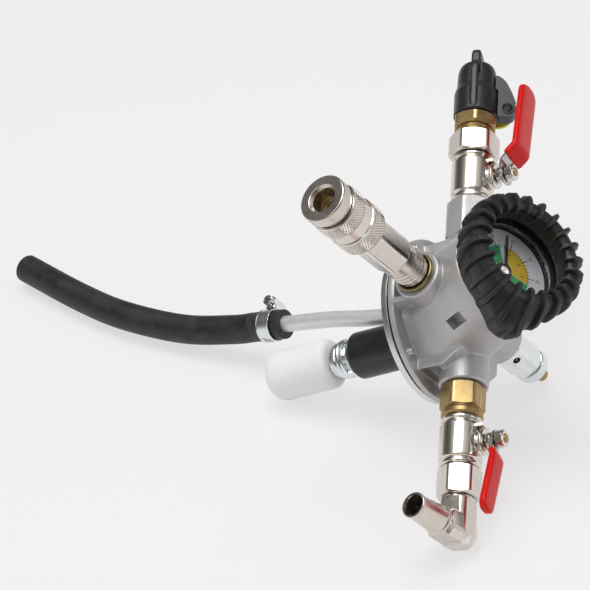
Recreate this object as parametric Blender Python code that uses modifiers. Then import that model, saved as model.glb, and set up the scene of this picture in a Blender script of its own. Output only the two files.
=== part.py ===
"""Tank head of a fluid suction pump, as an assembly of separate pieces.

Frame: the seat of the flange lies in the plane z = 0 and the tank is below it.
+Z runs up the flange axis to the gauge, +X to the outlet valve, -X to the
drain valve, -Y to the air coupler and +Y to the relief valve.
Sizes are in millimetres; the helpers scale them to metres.
"""
import math
from dataclasses import dataclass

import bmesh
import bpy
from mathutils import Matrix, Vector

MM = 0.001
GAP = 0.3

PORT_HEIGHT = 22.5
PORT_CENTRE = (0.0, 0.0, PORT_HEIGHT)
PLATE_RADIUS = 38.0
PLATE_THICKNESS = 3.1
GASKET_RADIUS = 36.5
GASKET_THICKNESS = 0.9
FLANGE_RADIUS = 39.5
FLANGE_THICKNESS = 2.9
FLANGE_BOTTOM = PLATE_THICKNESS + GASKET_THICKNESS + 2 * GAP
FLANGE_TOP = FLANGE_BOTTOM + FLANGE_THICKNESS
SCREW_REACH = 25.5
SCREW_ANGLES = (60, 180, 300)
PIN_RADIUS = 1.7
PIN_PLACES = ((27.0, -23.6), (-27.0, -23.6), (-27.0, 23.6), (27.0, 23.6))

BOSS_RADIUS = 11.6
BOSS_START = 8.0
OUTLET_FACE = 38.0
DRAIN_FACE = 38.0
COUPLER_FACE = 43.0
RELIEF_FACE = 31.0
DOME_APOTHEM = 30.6
DOME_LEDGE = FLANGE_TOP + 3.4
CHAMBER_RADIUS = 15.0
CHAMBER_TOP = PORT_HEIGHT + 4.2
WEB_PROFILE = [(-16.7, 17.2), (-16.7, 32.4), (-1.3, 32.4), (7.6, 26.3), (7.6, 17.2)]
WEB_HALF = 16.2
WEB_POCKET = (15.3, 28.0, 40.0, -14.2, -5.0)
AIR_WEB_PROFILE = [(-16.5, 20.0), (-16.5, 38.6), (0.0, 38.6), (6.0, 30.0), (6.0, 20.0)]
AIR_WEB_HALF = 8.0
AIR_WEB_POCKET = (6.0, 33.0, 42.0, -14.2, -6.5)
SQUARE_POCKET = (5.6, 9.4, 6.6)
SQUARE_POCKET_AT = (20.0, -27.9, 34.9)
SQUARE_POCKET_OUT = (0.73, -0.67, -0.1)
SQUARE_POCKET_SIDE = (0.62, 0.7, 0.35)

GAUGE_FOOT = PORT_HEIGHT - 12.5
GAUGE_AXIS = Vector((-0.08, -0.42, 0.905)).normalized()
LIP_STATION = 73.0
DIAL_STATION = LIP_STATION - 23.0
CUP_STATION = LIP_STATION - 23.0
CUP_RADIUS = 25.6
CUP_HOLLOW = 22.9
CUP_FLOOR = 35.0
POINTER_TURN = -4.0
BOOT_RIBS = 22
RIB_SHARES = (1.0, 0.7, 0.0, 0.7)
RIB_HEIGHT = 2.5
SPOUT_RADIUS = 8.5
SPOUT_BASE = 28.5
SPOUT_REACH = 30.4
SPOUT_TURN = -6.5

THREAD_RADIUS = 6.4
THREAD_LENGTH = 7.0
SOCKET_RADIUS = 6.8
COUPLER_SOCKET = 8.6
CHAMFER_FACE = 0.96
CHAMFER_SLOPE = 0.577

STEM_TURN = math.radians(4.0)
STEM_AXIS = Vector((0.0, math.sin(STEM_TURN), math.cos(STEM_TURN)))
BALL_RADIUS = 6.1
BALL_BORE = 3.9
VALVE_BORE = 4.6
CAVITY_RADIUS = 7.4
STEM_RADIUS = 2.0
STEM_BOSS_END = 13.3
LEVER_LOW = STEM_BOSS_END + 3.5
LEVER_THICK = 1.3
LEVER_TAIL = 5.5
LEVER_SHORT = 3.0
GRIP_WALL = 1.0
GRIP_START = 0.35
LEVER_NUT_LOW = LEVER_LOW + LEVER_THICK + GAP
LEVER_NUT_HEIGHT = 4.3

DRAIN_ADAPTER_FLATS = 21.0
DRAIN_ADAPTER_TURN = 8.0
NIPPLE_FLATS = 19.6
NIPPLE_TURN = 29.0
NIPPLE_HEX = 99.9
NIPPLE_END = 119.5
CAP_SKIRT = 107.0
CAP_TURN = 31.8
CAP_FIN_TURN = -14.0
EYELET = (15.0, 4.8, 0)
OUTLET_ADAPTER_FLATS = 18.8
OUTLET_ADAPTER_TURN = 1.0
ELBOW_CORNER = 109.0
ELBOW_LEG = (0, -1, -0.067)
VENT_TURN = 60.0

SLEEVE_X = 7.5
TUBE_X = -10.0
TUBE_RADIUS = 4.0
TUBE_BORE = 2.9
HOSE_RADIUS = 7.3
HOSE_START = (-21.0, 0.0, -82.0)
HOSE_DIRECTION = (-0.152, 0.0, -0.988)
CUFF_LENGTH = 18.0
BAND_LOW = 5.0
BAND_HIGH = 12.4
HOSE_ROUTE = [(-23.8, 0.0, -100.1), (-25.7, -0.3, -114.0), (-31.0, -4.8, -142.5), (-43.5, -12.4, -176.0),
              (-59.5, -16.6, -204.0), (-83.9, -20.4, -240.0)]

RIM_STEPS = 40
WIDE_STEPS = 26
ROUND_STEPS = 18
SMALL_STEPS = 13
TINY_STEPS = 10
SMOOTH_ANGLE = math.radians(40.0)
CUT_TURN = math.radians(3.7)


# Scene, collections and materials

for old in list(bpy.data.objects):
    bpy.data.objects.remove(old, do_unlink=True)


def new_collection(name):
    """Return a new collection linked to the scene."""
    group = bpy.data.collections.new(name)
    bpy.context.scene.collection.children.link(group)
    return group


PARTS = new_collection("suction_pump_head")
CUTTERS = new_collection("cutters")


def material(name, colour, metallic, roughness):
    """Return a Principled material of one colour."""
    made = bpy.data.materials.new(name)
    made.use_nodes = True
    shader = made.node_tree.nodes["Principled BSDF"]
    shader.inputs["Base Color"].default_value = (*colour, 1.0)
    shader.inputs["Metallic"].default_value = metallic
    shader.inputs["Roughness"].default_value = roughness
    return made


CAST_METAL = material("cast_aluminium", (0.55, 0.54, 0.53), 0.9, 0.55)
PLATE_METAL = material("machined_aluminium", (0.72, 0.72, 0.72), 1.0, 0.35)
TUBE_METAL = material("bright_aluminium", (0.8, 0.8, 0.81), 1.0, 0.25)
NICKEL = material("nickel_plate", (0.68, 0.64, 0.58), 1.0, 0.22)
BRASS = material("brass", (0.62, 0.45, 0.19), 1.0, 0.3)
ZINC = material("zinc_plate", (0.74, 0.77, 0.78), 1.0, 0.3)
STEEL = material("steel", (0.6, 0.6, 0.6), 1.0, 0.3)
DARK_STEEL = material("black_steel", (0.04, 0.04, 0.04), 0.8, 0.35)
RUBBER = material("black_rubber", (0.02, 0.02, 0.022), 0.0, 0.6)
BLACK_PLASTIC = material("black_plastic", (0.025, 0.025, 0.027), 0.0, 0.4)
YELLOW_PLASTIC = material("yellow_plastic", (0.8, 0.62, 0.05), 0.0, 0.4)
RED_GRIP = material("red_dip_coat", (0.75, 0.04, 0.03), 0.0, 0.35)
WHITE_FOAM = material("white_float_plastic", (0.85, 0.86, 0.87), 0.0, 0.45)
SEAL_PLASTIC = material("white_seal", (0.9, 0.9, 0.88), 0.0, 0.4)
DIAL_WHITE = material("dial_white", (0.85, 0.85, 0.85), 0.0, 0.5)
CLEAR = material("clear_window", (0.9, 0.95, 0.95), 0.0, 0.05)


# Frames: an empty whose local +Z runs out of a port

def frame(name, origin, forward, side):
    """Return an empty at a point with local +Z along forward and +X along side."""
    z_axis = Vector(forward).normalized()
    x_axis = (Vector(side) - Vector(side).dot(z_axis) * z_axis).normalized()
    y_axis = z_axis.cross(x_axis)
    made = bpy.data.objects.new(name, None)
    basis = Matrix((x_axis, y_axis, z_axis)).transposed().to_4x4()
    made.matrix_world = Matrix.Translation(Vector(origin) * MM) @ basis
    PARTS.objects.link(made)
    return made


def child_frame(name, parent, at, turn=0.0, axis="Z"):
    """Return an empty inside another frame, moved and turned about one axis."""
    made = bpy.data.objects.new(name, None)
    made.parent = parent
    made.matrix_local = Matrix.Translation(Vector(at) * MM) @ Matrix.Rotation(math.radians(turn), 4, axis)
    PARTS.objects.link(made)
    return made


WORLD = frame("seat_frame", (0, 0, 0), (0, 0, 1), (1, 0, 0))
OUTLET = frame("outlet_frame", PORT_CENTRE, (1, 0, 0), STEM_AXIS)
DRAIN = frame("drain_frame", PORT_CENTRE, (-1, 0, 0), STEM_AXIS)
AIR = frame("air_frame", PORT_CENTRE, (0, -1, 0), (0, 0, 1))
RELIEF = frame("relief_frame", PORT_CENTRE, (0, 1, 0), (0, 0, 1))
GAUGE = frame("gauge_frame", (0, 0, GAUGE_FOOT), GAUGE_AXIS, (1, 0, 0))


# Shape helpers

def add_object(name, mesh, parent, look, tool=False):
    """Link a mesh as a part, or as a tool that only cuts or joins."""
    made = bpy.data.objects.new(name, mesh)
    made.parent = parent
    if tool:
        CUTTERS.objects.link(made)
        made.hide_render = True
        made.display_type = "WIRE"
    else:
        PARTS.objects.link(made)
        mesh.materials.append(look)
    return made


def smooth(made, angle=SMOOTH_ANGLE):
    """Shade a mesh smooth apart from its real edges."""
    made.data.shade_smooth()
    made.data.set_sharp_from_angle(angle=angle)
    return made


def turned(name, outline, parent, look=None, at=(0, 0, 0), steps=ROUND_STEPS, ring=False, tool=False):
    """Turn an outline of (radius, height) points, listed down its outer side.

    An outline that starts and ends on the axis makes a solid; a ring outline
    closes on itself, down its outer side and back up its bore.
    """
    mesh = bpy.data.meshes.new(name)
    points = [(radius * MM, 0.0, height * MM) for radius, height in outline]
    edges = [(i, i + 1) for i in range(len(points) - 1)]
    if ring:
        edges.append((len(points) - 1, 0))
    mesh.from_pydata(points, edges, [])
    made = add_object(name, mesh, parent, look, tool)
    made.location = Vector(at) * MM
    screw = made.modifiers.new("turn", "SCREW")
    screw.axis = "Z"
    screw.steps = steps
    screw.render_steps = steps
    screw.use_merge_vertices = True
    screw.merge_threshold = 0.00005
    screw.use_smooth_shade = True
    return made


def rod(name, radius, low, high, parent, look=None, bevel=0.0, bore=0.0, steps=ROUND_STEPS, at=(0, 0, 0), tool=False):
    """Turn a plain rod or tube between two heights, with bevelled rims."""
    if bore:
        outline = [(bore + bevel, high), (radius - bevel, high), (radius, high - bevel),
                   (radius, low + bevel), (radius - bevel, low), (bore + bevel, low),
                   (bore, low + bevel), (bore, high - bevel)]
        if not bevel:
            outline = [(bore, high), (radius, high), (radius, low), (bore, low)]
        return turned(name, outline, parent, look, at, steps, True, tool)
    outline = [(0, high), (radius - bevel, high), (radius, high - bevel),
               (radius, low + bevel), (radius - bevel, low), (0, low)]
    if not bevel:
        outline = [(0, high), (radius, high), (radius, low), (0, low)]
    return turned(name, outline, parent, look, at, steps, False, tool)


def prism(name, corners, low, high, parent, look=None, at=(0, 0, 0), tool=False):
    """Extrude a flat outline, listed counter-clockwise, between two heights."""
    mesh = bpy.data.meshes.new(name)
    work = bmesh.new()
    ring = [work.verts.new((x * MM, y * MM, low * MM)) for x, y in corners]
    face = work.faces.new(ring)
    work.normal_update()
    if face.normal.z > 0:
        face.normal_flip()
    lifted = bmesh.ops.extrude_face_region(work, geom=[face])
    top = [v for v in lifted["geom"] if isinstance(v, bmesh.types.BMVert)]
    bmesh.ops.translate(work, verts=top, vec=(0, 0, (high - low) * MM))
    bmesh.ops.recalc_face_normals(work, faces=work.faces[:])
    work.to_mesh(mesh)
    work.free()
    made = add_object(name, mesh, parent, look, tool)
    made.location = Vector(at) * MM
    return made


def polygon(sides, across_flats, turn=0.0):
    """Return the corners of a regular polygon of a given width across its flats."""
    reach = across_flats / 2 / math.cos(math.pi / sides)
    start = math.radians(turn) + math.pi / sides
    return [(reach * math.cos(start + 2 * math.pi * i / sides),
             reach * math.sin(start + 2 * math.pi * i / sides)) for i in range(sides)]


def block(name, size, parent, look=None, at=(0, 0, 0), bevel=0.0, tool=False):
    """Make a box about a centre, with its edges rounded."""
    mesh = bpy.data.meshes.new(name)
    work = bmesh.new()
    bmesh.ops.create_cube(work, size=1.0)
    bmesh.ops.scale(work, vec=Vector(size) * MM, verts=work.verts)
    work.to_mesh(mesh)
    work.free()
    made = add_object(name, mesh, parent, look, tool)
    made.location = Vector(at) * MM
    if bevel:
        edge = made.modifiers.new("edges", "BEVEL")
        edge.width = bevel * MM
        edge.segments = 2
    return made


def combine(target, tool, how):
    """Join a tool to a target, cut it away, or keep only what both share.

    A turned cutter stands a few degrees round, so that its corners miss those
    of the turned piece that it cuts.
    """
    if how != "UNION" and "turn" in tool.modifiers:
        tool.rotation_euler.z = CUT_TURN
    step = target.modifiers.new(how.lower() + "_" + tool.name, "BOOLEAN")
    step.operation = how
    step.object = tool
    step.solver = "EXACT"
    return target


def cut(target, *tools):
    """Cut one or more tools out of a target."""
    for tool in tools:
        combine(target, tool, "DIFFERENCE")
    return target


def join(target, *tools):
    """Join one or more tools to a target as one body."""
    for tool in tools:
        combine(target, tool, "UNION")
    return target


def nut(name, across_flats, low, high, parent, look, bore=0.0, chamfer_low=True, chamfer_high=True,
        turn=0.0, at=(0, 0, 0), sides=6):
    """Make a hexagon with turned chamfers on its ends and a bore."""
    made = prism(name, polygon(sides, across_flats, turn), low, high, parent, look, at)
    corner = across_flats / 2 / math.cos(math.pi / sides)
    face = across_flats / 2 * CHAMFER_FACE
    wide = corner + 0.3
    drop = (wide - face) * CHAMFER_SLOPE
    narrow = face - 1.0 / CHAMFER_SLOPE
    outline = [(0, high + 1), (wide, high + 1), (wide, low - 1), (0, low - 1)]
    if chamfer_high:
        outline[1:2] = [(narrow, high + 1), (wide, high - drop)]
    if chamfer_low:
        outline[-2:-1] = [(wide, low + drop), (narrow, low - 1)]
    shape = turned(name + "_chamfer", outline, parent, at=at, steps=ROUND_STEPS, tool=True)
    combine(made, shape, "INTERSECT")
    if bore:
        cut(made, rod(name + "_bore", bore, low - 2, high + 2, parent, at=at, tool=True))
    return made


def wire(name, points, radius, parent, look=None, resolution=2):
    """Run a round tube along a list of points."""
    curve = bpy.data.curves.new(name, "CURVE")
    curve.dimensions = "3D"
    curve.bevel_depth = radius * MM
    curve.bevel_resolution = resolution
    curve.use_fill_caps = True
    line = curve.splines.new("POLY")
    line.points.add(len(points) - 1)
    for knot, point in zip(line.points, points):
        knot.co = (*(Vector(point) * MM), 1.0)
    guide = bpy.data.objects.new(name + "_path", curve)
    guide.parent = parent
    PARTS.objects.link(guide)
    bpy.context.view_layer.update()
    evaluated = guide.evaluated_get(bpy.context.evaluated_depsgraph_get())
    mesh = bpy.data.meshes.new_from_object(evaluated)
    mesh.name = name
    work = bmesh.new()
    work.from_mesh(mesh)
    bmesh.ops.remove_doubles(work, verts=work.verts[:], dist=0.00001)
    work.to_mesh(mesh)
    work.free()
    mesh.materials.clear()
    bpy.data.objects.remove(guide, do_unlink=True)
    made = add_object(name, mesh, parent, look, look is None)
    return smooth(made)


def smooth_path(knots, per_span=6):
    """Return points on a Catmull-Rom curve through the knots."""
    knots = [Vector(k) for k in knots]
    padded = [2 * knots[0] - knots[1]] + knots + [2 * knots[-1] - knots[-2]]
    path = []
    for i in range(1, len(padded) - 2):
        p0, p1, p2, p3 = padded[i - 1:i + 3]
        for j in range(per_span):
            t = j / per_span
            path.append(0.5 * ((2 * p1) + (p2 - p0) * t + (2 * p0 - 5 * p1 + 4 * p2 - p3) * t ** 2
                               + (3 * p1 - p0 - 3 * p2 + p3) * t ** 3))
    return path + [knots[-1]]


# Head casting

def head_casting():
    """Cast body: flange, sloped dome with the gauge cup, four bosses, webs and pins."""
    body = rod("head_casting", FLANGE_RADIUS, FLANGE_BOTTOM, FLANGE_TOP, WORLD, CAST_METAL, bevel=0.5,
               steps=RIM_STEPS)
    join(body, dome_shell())
    port_web(body, "outlet", OUTLET, WEB_PROFILE, WEB_HALF, WEB_POCKET)
    port_web(body, "drain", DRAIN, WEB_PROFILE, WEB_HALF, WEB_POCKET)
    port_web(body, "air", AIR, AIR_WEB_PROFILE, AIR_WEB_HALF, AIR_WEB_POCKET)
    ports = (("outlet", OUTLET, OUTLET_FACE, SOCKET_RADIUS), ("drain", DRAIN, DRAIN_FACE, SOCKET_RADIUS),
             ("air", AIR, COUPLER_FACE, COUPLER_SOCKET), ("relief", RELIEF, RELIEF_FACE, SOCKET_RADIUS))
    for name, port, face, _ in ports:
        join(body, rod(name + "_boss", BOSS_RADIUS, BOSS_START, face, port, bevel=0.8, steps=WIDE_STEPS, tool=True))
    for name, port, face, thread in ports:
        cut(body, turned(name + "_port_hollow", [(0, face + 2), (thread, face + 2), (thread, face - 11.0),
                                                 (3.5, face - 11.0), (3.5, 6.0), (0, 6.0)],
                         port, steps=SMALL_STEPS, tool=True))
    cut(body, turned("gauge_cup_hollow", [(0, CUP_STATION + 6), (CUP_HOLLOW, CUP_STATION + 6),
                                          (CUP_HOLLOW, CUP_FLOOR), (5.2, CUP_FLOOR), (5.2, 20.0), (0, 20.0)],
                     GAUGE, steps=WIDE_STEPS, tool=True))
    cut(body, rod("head_chamber", CHAMBER_RADIUS, FLANGE_BOTTOM - 2, CHAMBER_TOP, WORLD, tool=True))
    for i, (x, y) in enumerate(PIN_PLACES):
        join(body, rod("pin_%d" % i, PIN_RADIUS, FLANGE_BOTTOM + 1, FLANGE_TOP + 2.4, WORLD, bevel=0.5,
                       steps=TINY_STEPS, at=(x, y, 0), tool=True))
    pocket = frame("square_pocket_frame", SQUARE_POCKET_AT, SQUARE_POCKET_OUT, SQUARE_POCKET_SIDE)
    cut(body, block("square_pocket_tool", SQUARE_POCKET, pocket, tool=True))
    for i, (x, y) in enumerate(screw_places()):
        cut(body, rod("plate_tapping_%d" % i, 1.9, FLANGE_BOTTOM - 1, FLANGE_TOP + 3, WORLD, steps=TINY_STEPS,
                      at=(x, y, 0), tool=True))
    return body


def screw_places():
    """Return the places of the screws that hold the clamp plate."""
    return [(SCREW_REACH * math.cos(math.radians(a)), SCREW_REACH * math.sin(math.radians(a))) for a in SCREW_ANGLES]


def dome_shell(sides=32):
    """Loft from the rounded octagon on the flange to the tilted rim of the cup."""
    mesh = bpy.data.meshes.new("dome")
    work = bmesh.new()
    rim_side = Vector((1, 0, 0)) - GAUGE_AXIS.x * GAUGE_AXIS
    rim_side.normalize()
    rim_up = GAUGE_AXIS.cross(rim_side)
    rim_centre = Vector((0, 0, GAUGE_FOOT)) + CUP_STATION * GAUGE_AXIS
    rings = []
    for level in (FLANGE_BOTTOM + 1.0, DOME_LEDGE):
        ring = []
        for i in range(sides):
            angle = 2 * math.pi * i / sides
            facet = (angle + math.pi / 8) % (math.pi / 4) - math.pi / 8
            reach = DOME_APOTHEM / math.cos(facet)
            ring.append((reach * math.cos(angle), reach * math.sin(angle), level))
        rings.append(ring)
    for share, swell in ((0.55, 0.985), (1.0, 1.0)):
        ring = []
        for i in range(sides):
            angle = 2 * math.pi * i / sides
            rim = rim_centre + CUP_RADIUS * (math.cos(angle) * rim_side + math.sin(angle) * rim_up)
            low = Vector(rings[1][i])
            ring.append(tuple(low.lerp(rim, share) * swell if share < 1 else rim))
        rings.append(ring)
    verts = [[work.verts.new(Vector(p) * MM) for p in ring] for ring in rings]
    for lower, upper in zip(verts, verts[1:]):
        for i in range(sides):
            j = (i + 1) % sides
            work.faces.new((lower[i], lower[j], upper[j], upper[i]))
    work.faces.new(list(reversed(verts[0])))
    work.faces.new(verts[-1])
    bmesh.ops.recalc_face_normals(work, faces=work.faces[:])
    work.to_mesh(mesh)
    work.free()
    return add_object("dome_form", mesh, WORLD, None, tool=True)


def port_web(body, name, port, profile, half_width, pocket):
    """Join a wall under a boss and cut its pocket.

    The profile lists heights from the port's axis and distances along it; the
    pocket is its half width, its inner and outer ends and its two heights.
    """
    upright = frame(name + "_web_frame", PORT_CENTRE, port.matrix_world.col[2].to_3d(), (0, 0, 1))
    plane = child_frame(name + "_web_plane", upright, (0, 0, 0), 90.0, "X")
    join(body, prism(name + "_web_form", profile, -half_width, half_width, plane, tool=True))
    half, inner, outer, low, high = pocket
    size = (high - low, outer - inner, 2 * half)
    middle = ((low + high) / 2, (inner + outer) / 2, 0)
    cut(body, block(name + "_web_pocket", size, plane, at=middle, tool=True))


def tank_closure():
    """Clamp plate, gasket and screws under the flange."""
    plate = rod("clamp_plate", PLATE_RADIUS, 0.0, PLATE_THICKNESS, WORLD, PLATE_METAL, bevel=0.4, steps=RIM_STEPS)
    gasket_low = PLATE_THICKNESS + GAP
    gasket = rod("flange_gasket", GASKET_RADIUS, gasket_low, gasket_low + GASKET_THICKNESS, WORLD, RUBBER,
                 bore=17.0, steps=RIM_STEPS)
    cut(plate, rod("sleeve_hole", 7.3, -2, 6, WORLD, steps=ROUND_STEPS, at=(SLEEVE_X, 0, 0), tool=True))
    cut(plate, rod("tube_hole", TUBE_RADIUS + GAP, -2, 6, WORLD, steps=SMALL_STEPS, at=(TUBE_X, 0, 0), tool=True))
    for i, (x, y) in enumerate(screw_places()):
        sink = turned("screw_sink_%d" % i, [(0, 6), (2.0, 6), (2.0, 1.9), (3.9, 0.0), (3.9, -2), (0, -2)],
                      WORLD, at=(x, y, 0), steps=SMALL_STEPS, tool=True)
        cut(plate, sink)
        cut(gasket, rod("gasket_screw_hole_%d" % i, 2.0, 1, 8, WORLD, steps=TINY_STEPS, at=(x, y, 0), tool=True))
        outline = [(0, FLANGE_TOP - 0.6), (1.6, FLANGE_TOP - 0.6), (1.6, 1.9), (3.3, 0.2), (0, 0.2)]
        turned("plate_screw_%d" % (i + 1), outline, WORLD, ZINC, at=(x, y, 0), steps=TINY_STEPS)


# Gauge and its rubber boot

def gauge_set():
    """Case, bezel, window, dial and stem of the gauge."""
    back = CUP_FLOOR + GAP
    turned("gauge_case", [(22.0, DIAL_STATION + 1.2), (22.5, DIAL_STATION + 1.2), (22.5, back + 1.5),
                          (21.0, back), (5.2, back), (5.2, back + 1.3), (20.8, back + 1.3),
                          (21.2, back + 1.8), (21.2, DIAL_STATION - 1.1), (22.0, DIAL_STATION - 1.1)],
           GAUGE, BLACK_PLASTIC, steps=WIDE_STEPS, ring=True)
    turned("gauge_stem", [(0, back + 8.0), (3.0, back + 8.0), (3.0, back + 3.2), (8.0, back + 3.2),
                          (8.0, back + 1.3 + GAP), (4.8, back + 1.3 + GAP), (4.8, 22.5), (0, 22.5)],
           GAUGE, BRASS, steps=SMALL_STEPS)
    turned("gauge_dial", [(1.3, DIAL_STATION), (21.6, DIAL_STATION), (21.6, DIAL_STATION - 0.8),
                          (1.3, DIAL_STATION - 0.8)], GAUGE, DIAL_WHITE, steps=WIDE_STEPS, ring=True)
    rim = DIAL_STATION + 4.6
    turned("gauge_bezel", [(21.7, rim), (24.0, rim), (24.6, rim - 0.6), (24.6, CUP_STATION + GAP),
                           (23.0, CUP_STATION + GAP), (23.0, rim - 1.5), (21.7, rim - 1.5)],
           GAUGE, DARK_STEEL, steps=WIDE_STEPS, ring=True)
    turned("gauge_window", [(0, rim - 1.8), (22.6, rim - 1.8), (22.6, rim - 3.0), (0, rim - 3.0)],
           GAUGE, CLEAR, steps=WIDE_STEPS)


def gauge_pointer():
    """Pointer on its arbor, turning about the dial's centre."""
    axis = child_frame("pointer_axis", GAUGE, (0, 0, DIAL_STATION), POINTER_TURN)
    hub = turned("gauge_pointer", [(0, 1.5), (1.9, 1.5), (2.1, 1.2), (2.1, 0.5), (0.9, 0.5), (0.9, -6.0), (0, -6.0)],
                 axis, DARK_STEEL, steps=SMALL_STEPS)
    blade = prism("pointer_blade_form", [(5.0, -1.0), (5.0, 1.0), (-19.0, 0.25), (-19.0, -0.25)], 0.6, 1.1,
                  axis, tool=True)
    join(hub, blade)


def boot_profile():
    """Section of the boot: radius, height from the lip, the ribs' outward and upward share, the spout's share."""
    return [(21.8, -11.0, 0.0, 0.0, 0.0), (21.3, -5.6, -0.3, 0.1, 0.0), (22.0, -3.3, -0.6, 0.7, 0.0),
            (23.8, -2.4, -0.1, 1.0, 0.0), (26.2, -3.0, 0.5, 0.86, 0.0), (28.0, -5.4, 0.9, 0.4, 0.05),
            (28.5, -9.0, 1.0, 0.0, 0.45), (28.3, -13.0, 1.0, -0.1, 0.92), (27.4, -16.0, 0.6, -0.2, 1.04),
            (26.4, -18.6, 0.1, 0.0, 1.1), (26.0, -22.6, 0.0, 0.0, 1.1), (24.9, -22.6, 0.0, 0.0, 0.0),
            (24.9, -15.1, 0.0, 0.0, 0.0), (23.4, -14.2, 0.0, 0.0, 0.0)]


def spout_reach(angle):
    """Return how far the skirt's tangent spout stands out of its circle at an angle."""
    away = abs((angle - math.radians(SPOUT_TURN) + math.pi) % (2 * math.pi) - math.pi)
    tangent = math.acos((SPOUT_BASE - SPOUT_RADIUS) / SPOUT_REACH)
    end = math.atan2(SPOUT_RADIUS * math.sin(tangent), SPOUT_REACH + SPOUT_RADIUS * math.cos(tangent))
    if away >= tangent:
        return 0.0
    if away >= end:
        return SPOUT_BASE / math.cos(tangent - away) - SPOUT_BASE
    inside = SPOUT_RADIUS ** 2 - (SPOUT_REACH * math.sin(away)) ** 2
    return SPOUT_REACH * math.cos(away) + math.sqrt(inside) - SPOUT_BASE


def gauge_boot():
    """Rubber boot: a skirt with a spout on one side and a wide lip with ribs that run over it.

    Its section changes round the ribs, so it is lofted from section to section.
    """
    mesh = bpy.data.meshes.new("gauge_boot")
    work = bmesh.new()
    count = BOOT_RIBS * len(RIB_SHARES)
    sections = []
    for i in range(count):
        angle = 2 * math.pi * i / count
        lift = RIB_HEIGHT * RIB_SHARES[i % len(RIB_SHARES)]
        section = []
        for radius, height, outward, upward, spout in boot_profile():
            reach = radius + lift * outward + spout * spout_reach(angle)
            section.append(work.verts.new((reach * math.cos(angle) * MM, reach * math.sin(angle) * MM,
                                           (LIP_STATION + height + lift * upward) * MM)))
        sections.append(section)
    for near, far in zip(sections, sections[1:] + sections[:1]):
        for i in range(len(near)):
            j = (i + 1) % len(near)
            work.faces.new((near[i], near[j], far[j], far[i]))
    bmesh.ops.recalc_face_normals(work, faces=work.faces[:])
    work.to_mesh(mesh)
    work.free()
    smooth(add_object("gauge_boot", mesh, GAUGE, RUBBER), math.radians(60.0))


# Mini ball valves

@dataclass(frozen=True)
class Valve:
    """Stations of one mini ball valve along its port, and the sizes of its lever."""

    side: str
    port: object
    flats: float
    hex_turn: float
    start: float
    ball: float
    split: float
    end: float
    radius: float
    lever: float
    width: float
    fold: float
    run: float
    rise: float
    turn: float


DRAIN_VALVE = Valve("drain", DRAIN, flats=21.8, hex_turn=-1.0, start=58.8, ball=71.5, split=83.9, end=96.0,
                    radius=10.35, lever=50.5, width=11.6, fold=5.2, run=7.4, rise=6.7, turn=-8.0)
OUTLET_VALVE = Valve("outlet", OUTLET, flats=18.2, hex_turn=1.0, start=54.6, ball=67.6, split=79.1, end=93.6,
                     radius=10.0, lever=41.5, width=7.0, fold=6.6, run=4.4, rise=2.6, turn=-16.5)


def valve_body(valve):
    """Barrel with a collar at each end, a stem boss and a threaded nose."""
    radius, start, split = valve.radius, valve.start, valve.split
    outline = [(0, split), (radius - 1.2, split), (radius - 0.4, split - 0.8), (radius - 0.4, split - 2.2),
               (radius - 1.3, split - 3.0), (radius, split - 4.0), (radius, start + 4.4), (radius - 1.3, start + 3.4),
               (radius - 0.4, start + 2.4), (radius - 0.4, start + 0.8), (radius - 1.2, start),
               (THREAD_RADIUS, start), (THREAD_RADIUS, start - THREAD_LENGTH), (0, start - THREAD_LENGTH)]
    body = turned(valve.side + "_valve_body", outline, valve.port, NICKEL, steps=ROUND_STEPS)
    across = side_frame(valve.side + "_stem_boss_frame", valve.port, valve.ball)
    boss = STEM_BOSS_END
    join(body, turned(valve.side + "_stem_boss_form",
                      [(0, boss), (5.4, boss), (6.1, boss - 0.7), (6.1, boss - 2.2), (5.3, boss - 3.0), (5.3, 4.0),
                       (0, 4.0)], across, steps=SMALL_STEPS, tool=True))
    low = start - THREAD_LENGTH - 2
    cut(body, turned(valve.side + "_valve_hollow",
                     [(0, split + 2), (CAVITY_RADIUS, split + 2), (CAVITY_RADIUS, valve.ball - 6.6),
                      (VALVE_BORE, valve.ball - 6.6), (VALVE_BORE, low), (0, low)], valve.port, tool=True))
    cut(body, rod(valve.side + "_stem_bore", STEM_RADIUS + GAP, 5.0, boss + 2, across, steps=SMALL_STEPS, tool=True))


def valve_end(valve):
    """Hexagonal end that screws into the body and holds the outer seat."""
    low = valve.split + GAP
    end = nut(valve.side + "_valve_end", valve.flats, low, valve.end, valve.port, NICKEL, turn=valve.hex_turn)
    skirt_low = valve.ball + 6.3
    join(end, rod(valve.side + "_end_skirt_form", CAVITY_RADIUS - GAP, skirt_low, low + 1.5, valve.port, tool=True))
    cut(end, turned(valve.side + "_end_hollow",
                    [(0, valve.end + 2), (SOCKET_RADIUS, valve.end + 2), (SOCKET_RADIUS, valve.end - 8.0),
                     (VALVE_BORE, valve.end - 8.0), (VALVE_BORE, skirt_low - 2), (0, skirt_low - 2)],
                    valve.port, steps=SMALL_STEPS, tool=True))


def side_frame(name, port, station):
    """Frame at a station of a port axis with local +Z along the valve stem."""
    return child_frame(name, port, (0, 0, station), 90.0, "Y")


def valve_seats(valve):
    """Two seal rings that hold the ball."""
    for place, low, high in (("inner", valve.ball - 6.3, valve.ball - 3.4),
                             ("outer", valve.ball + 3.4, valve.ball + 6.0)):
        seat = rod(valve.side + "_seat_" + place, 7.0, low, high, valve.port, SEAL_PLASTIC, bore=VALVE_BORE,
                   steps=SMALL_STEPS)
        cup = sphere(valve.side + "_seat_cup_" + place, BALL_RADIUS + GAP, valve.port, tool=True)
        cup.location = Vector((0, 0, valve.ball)) * MM
        cut(seat, cup)


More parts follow.
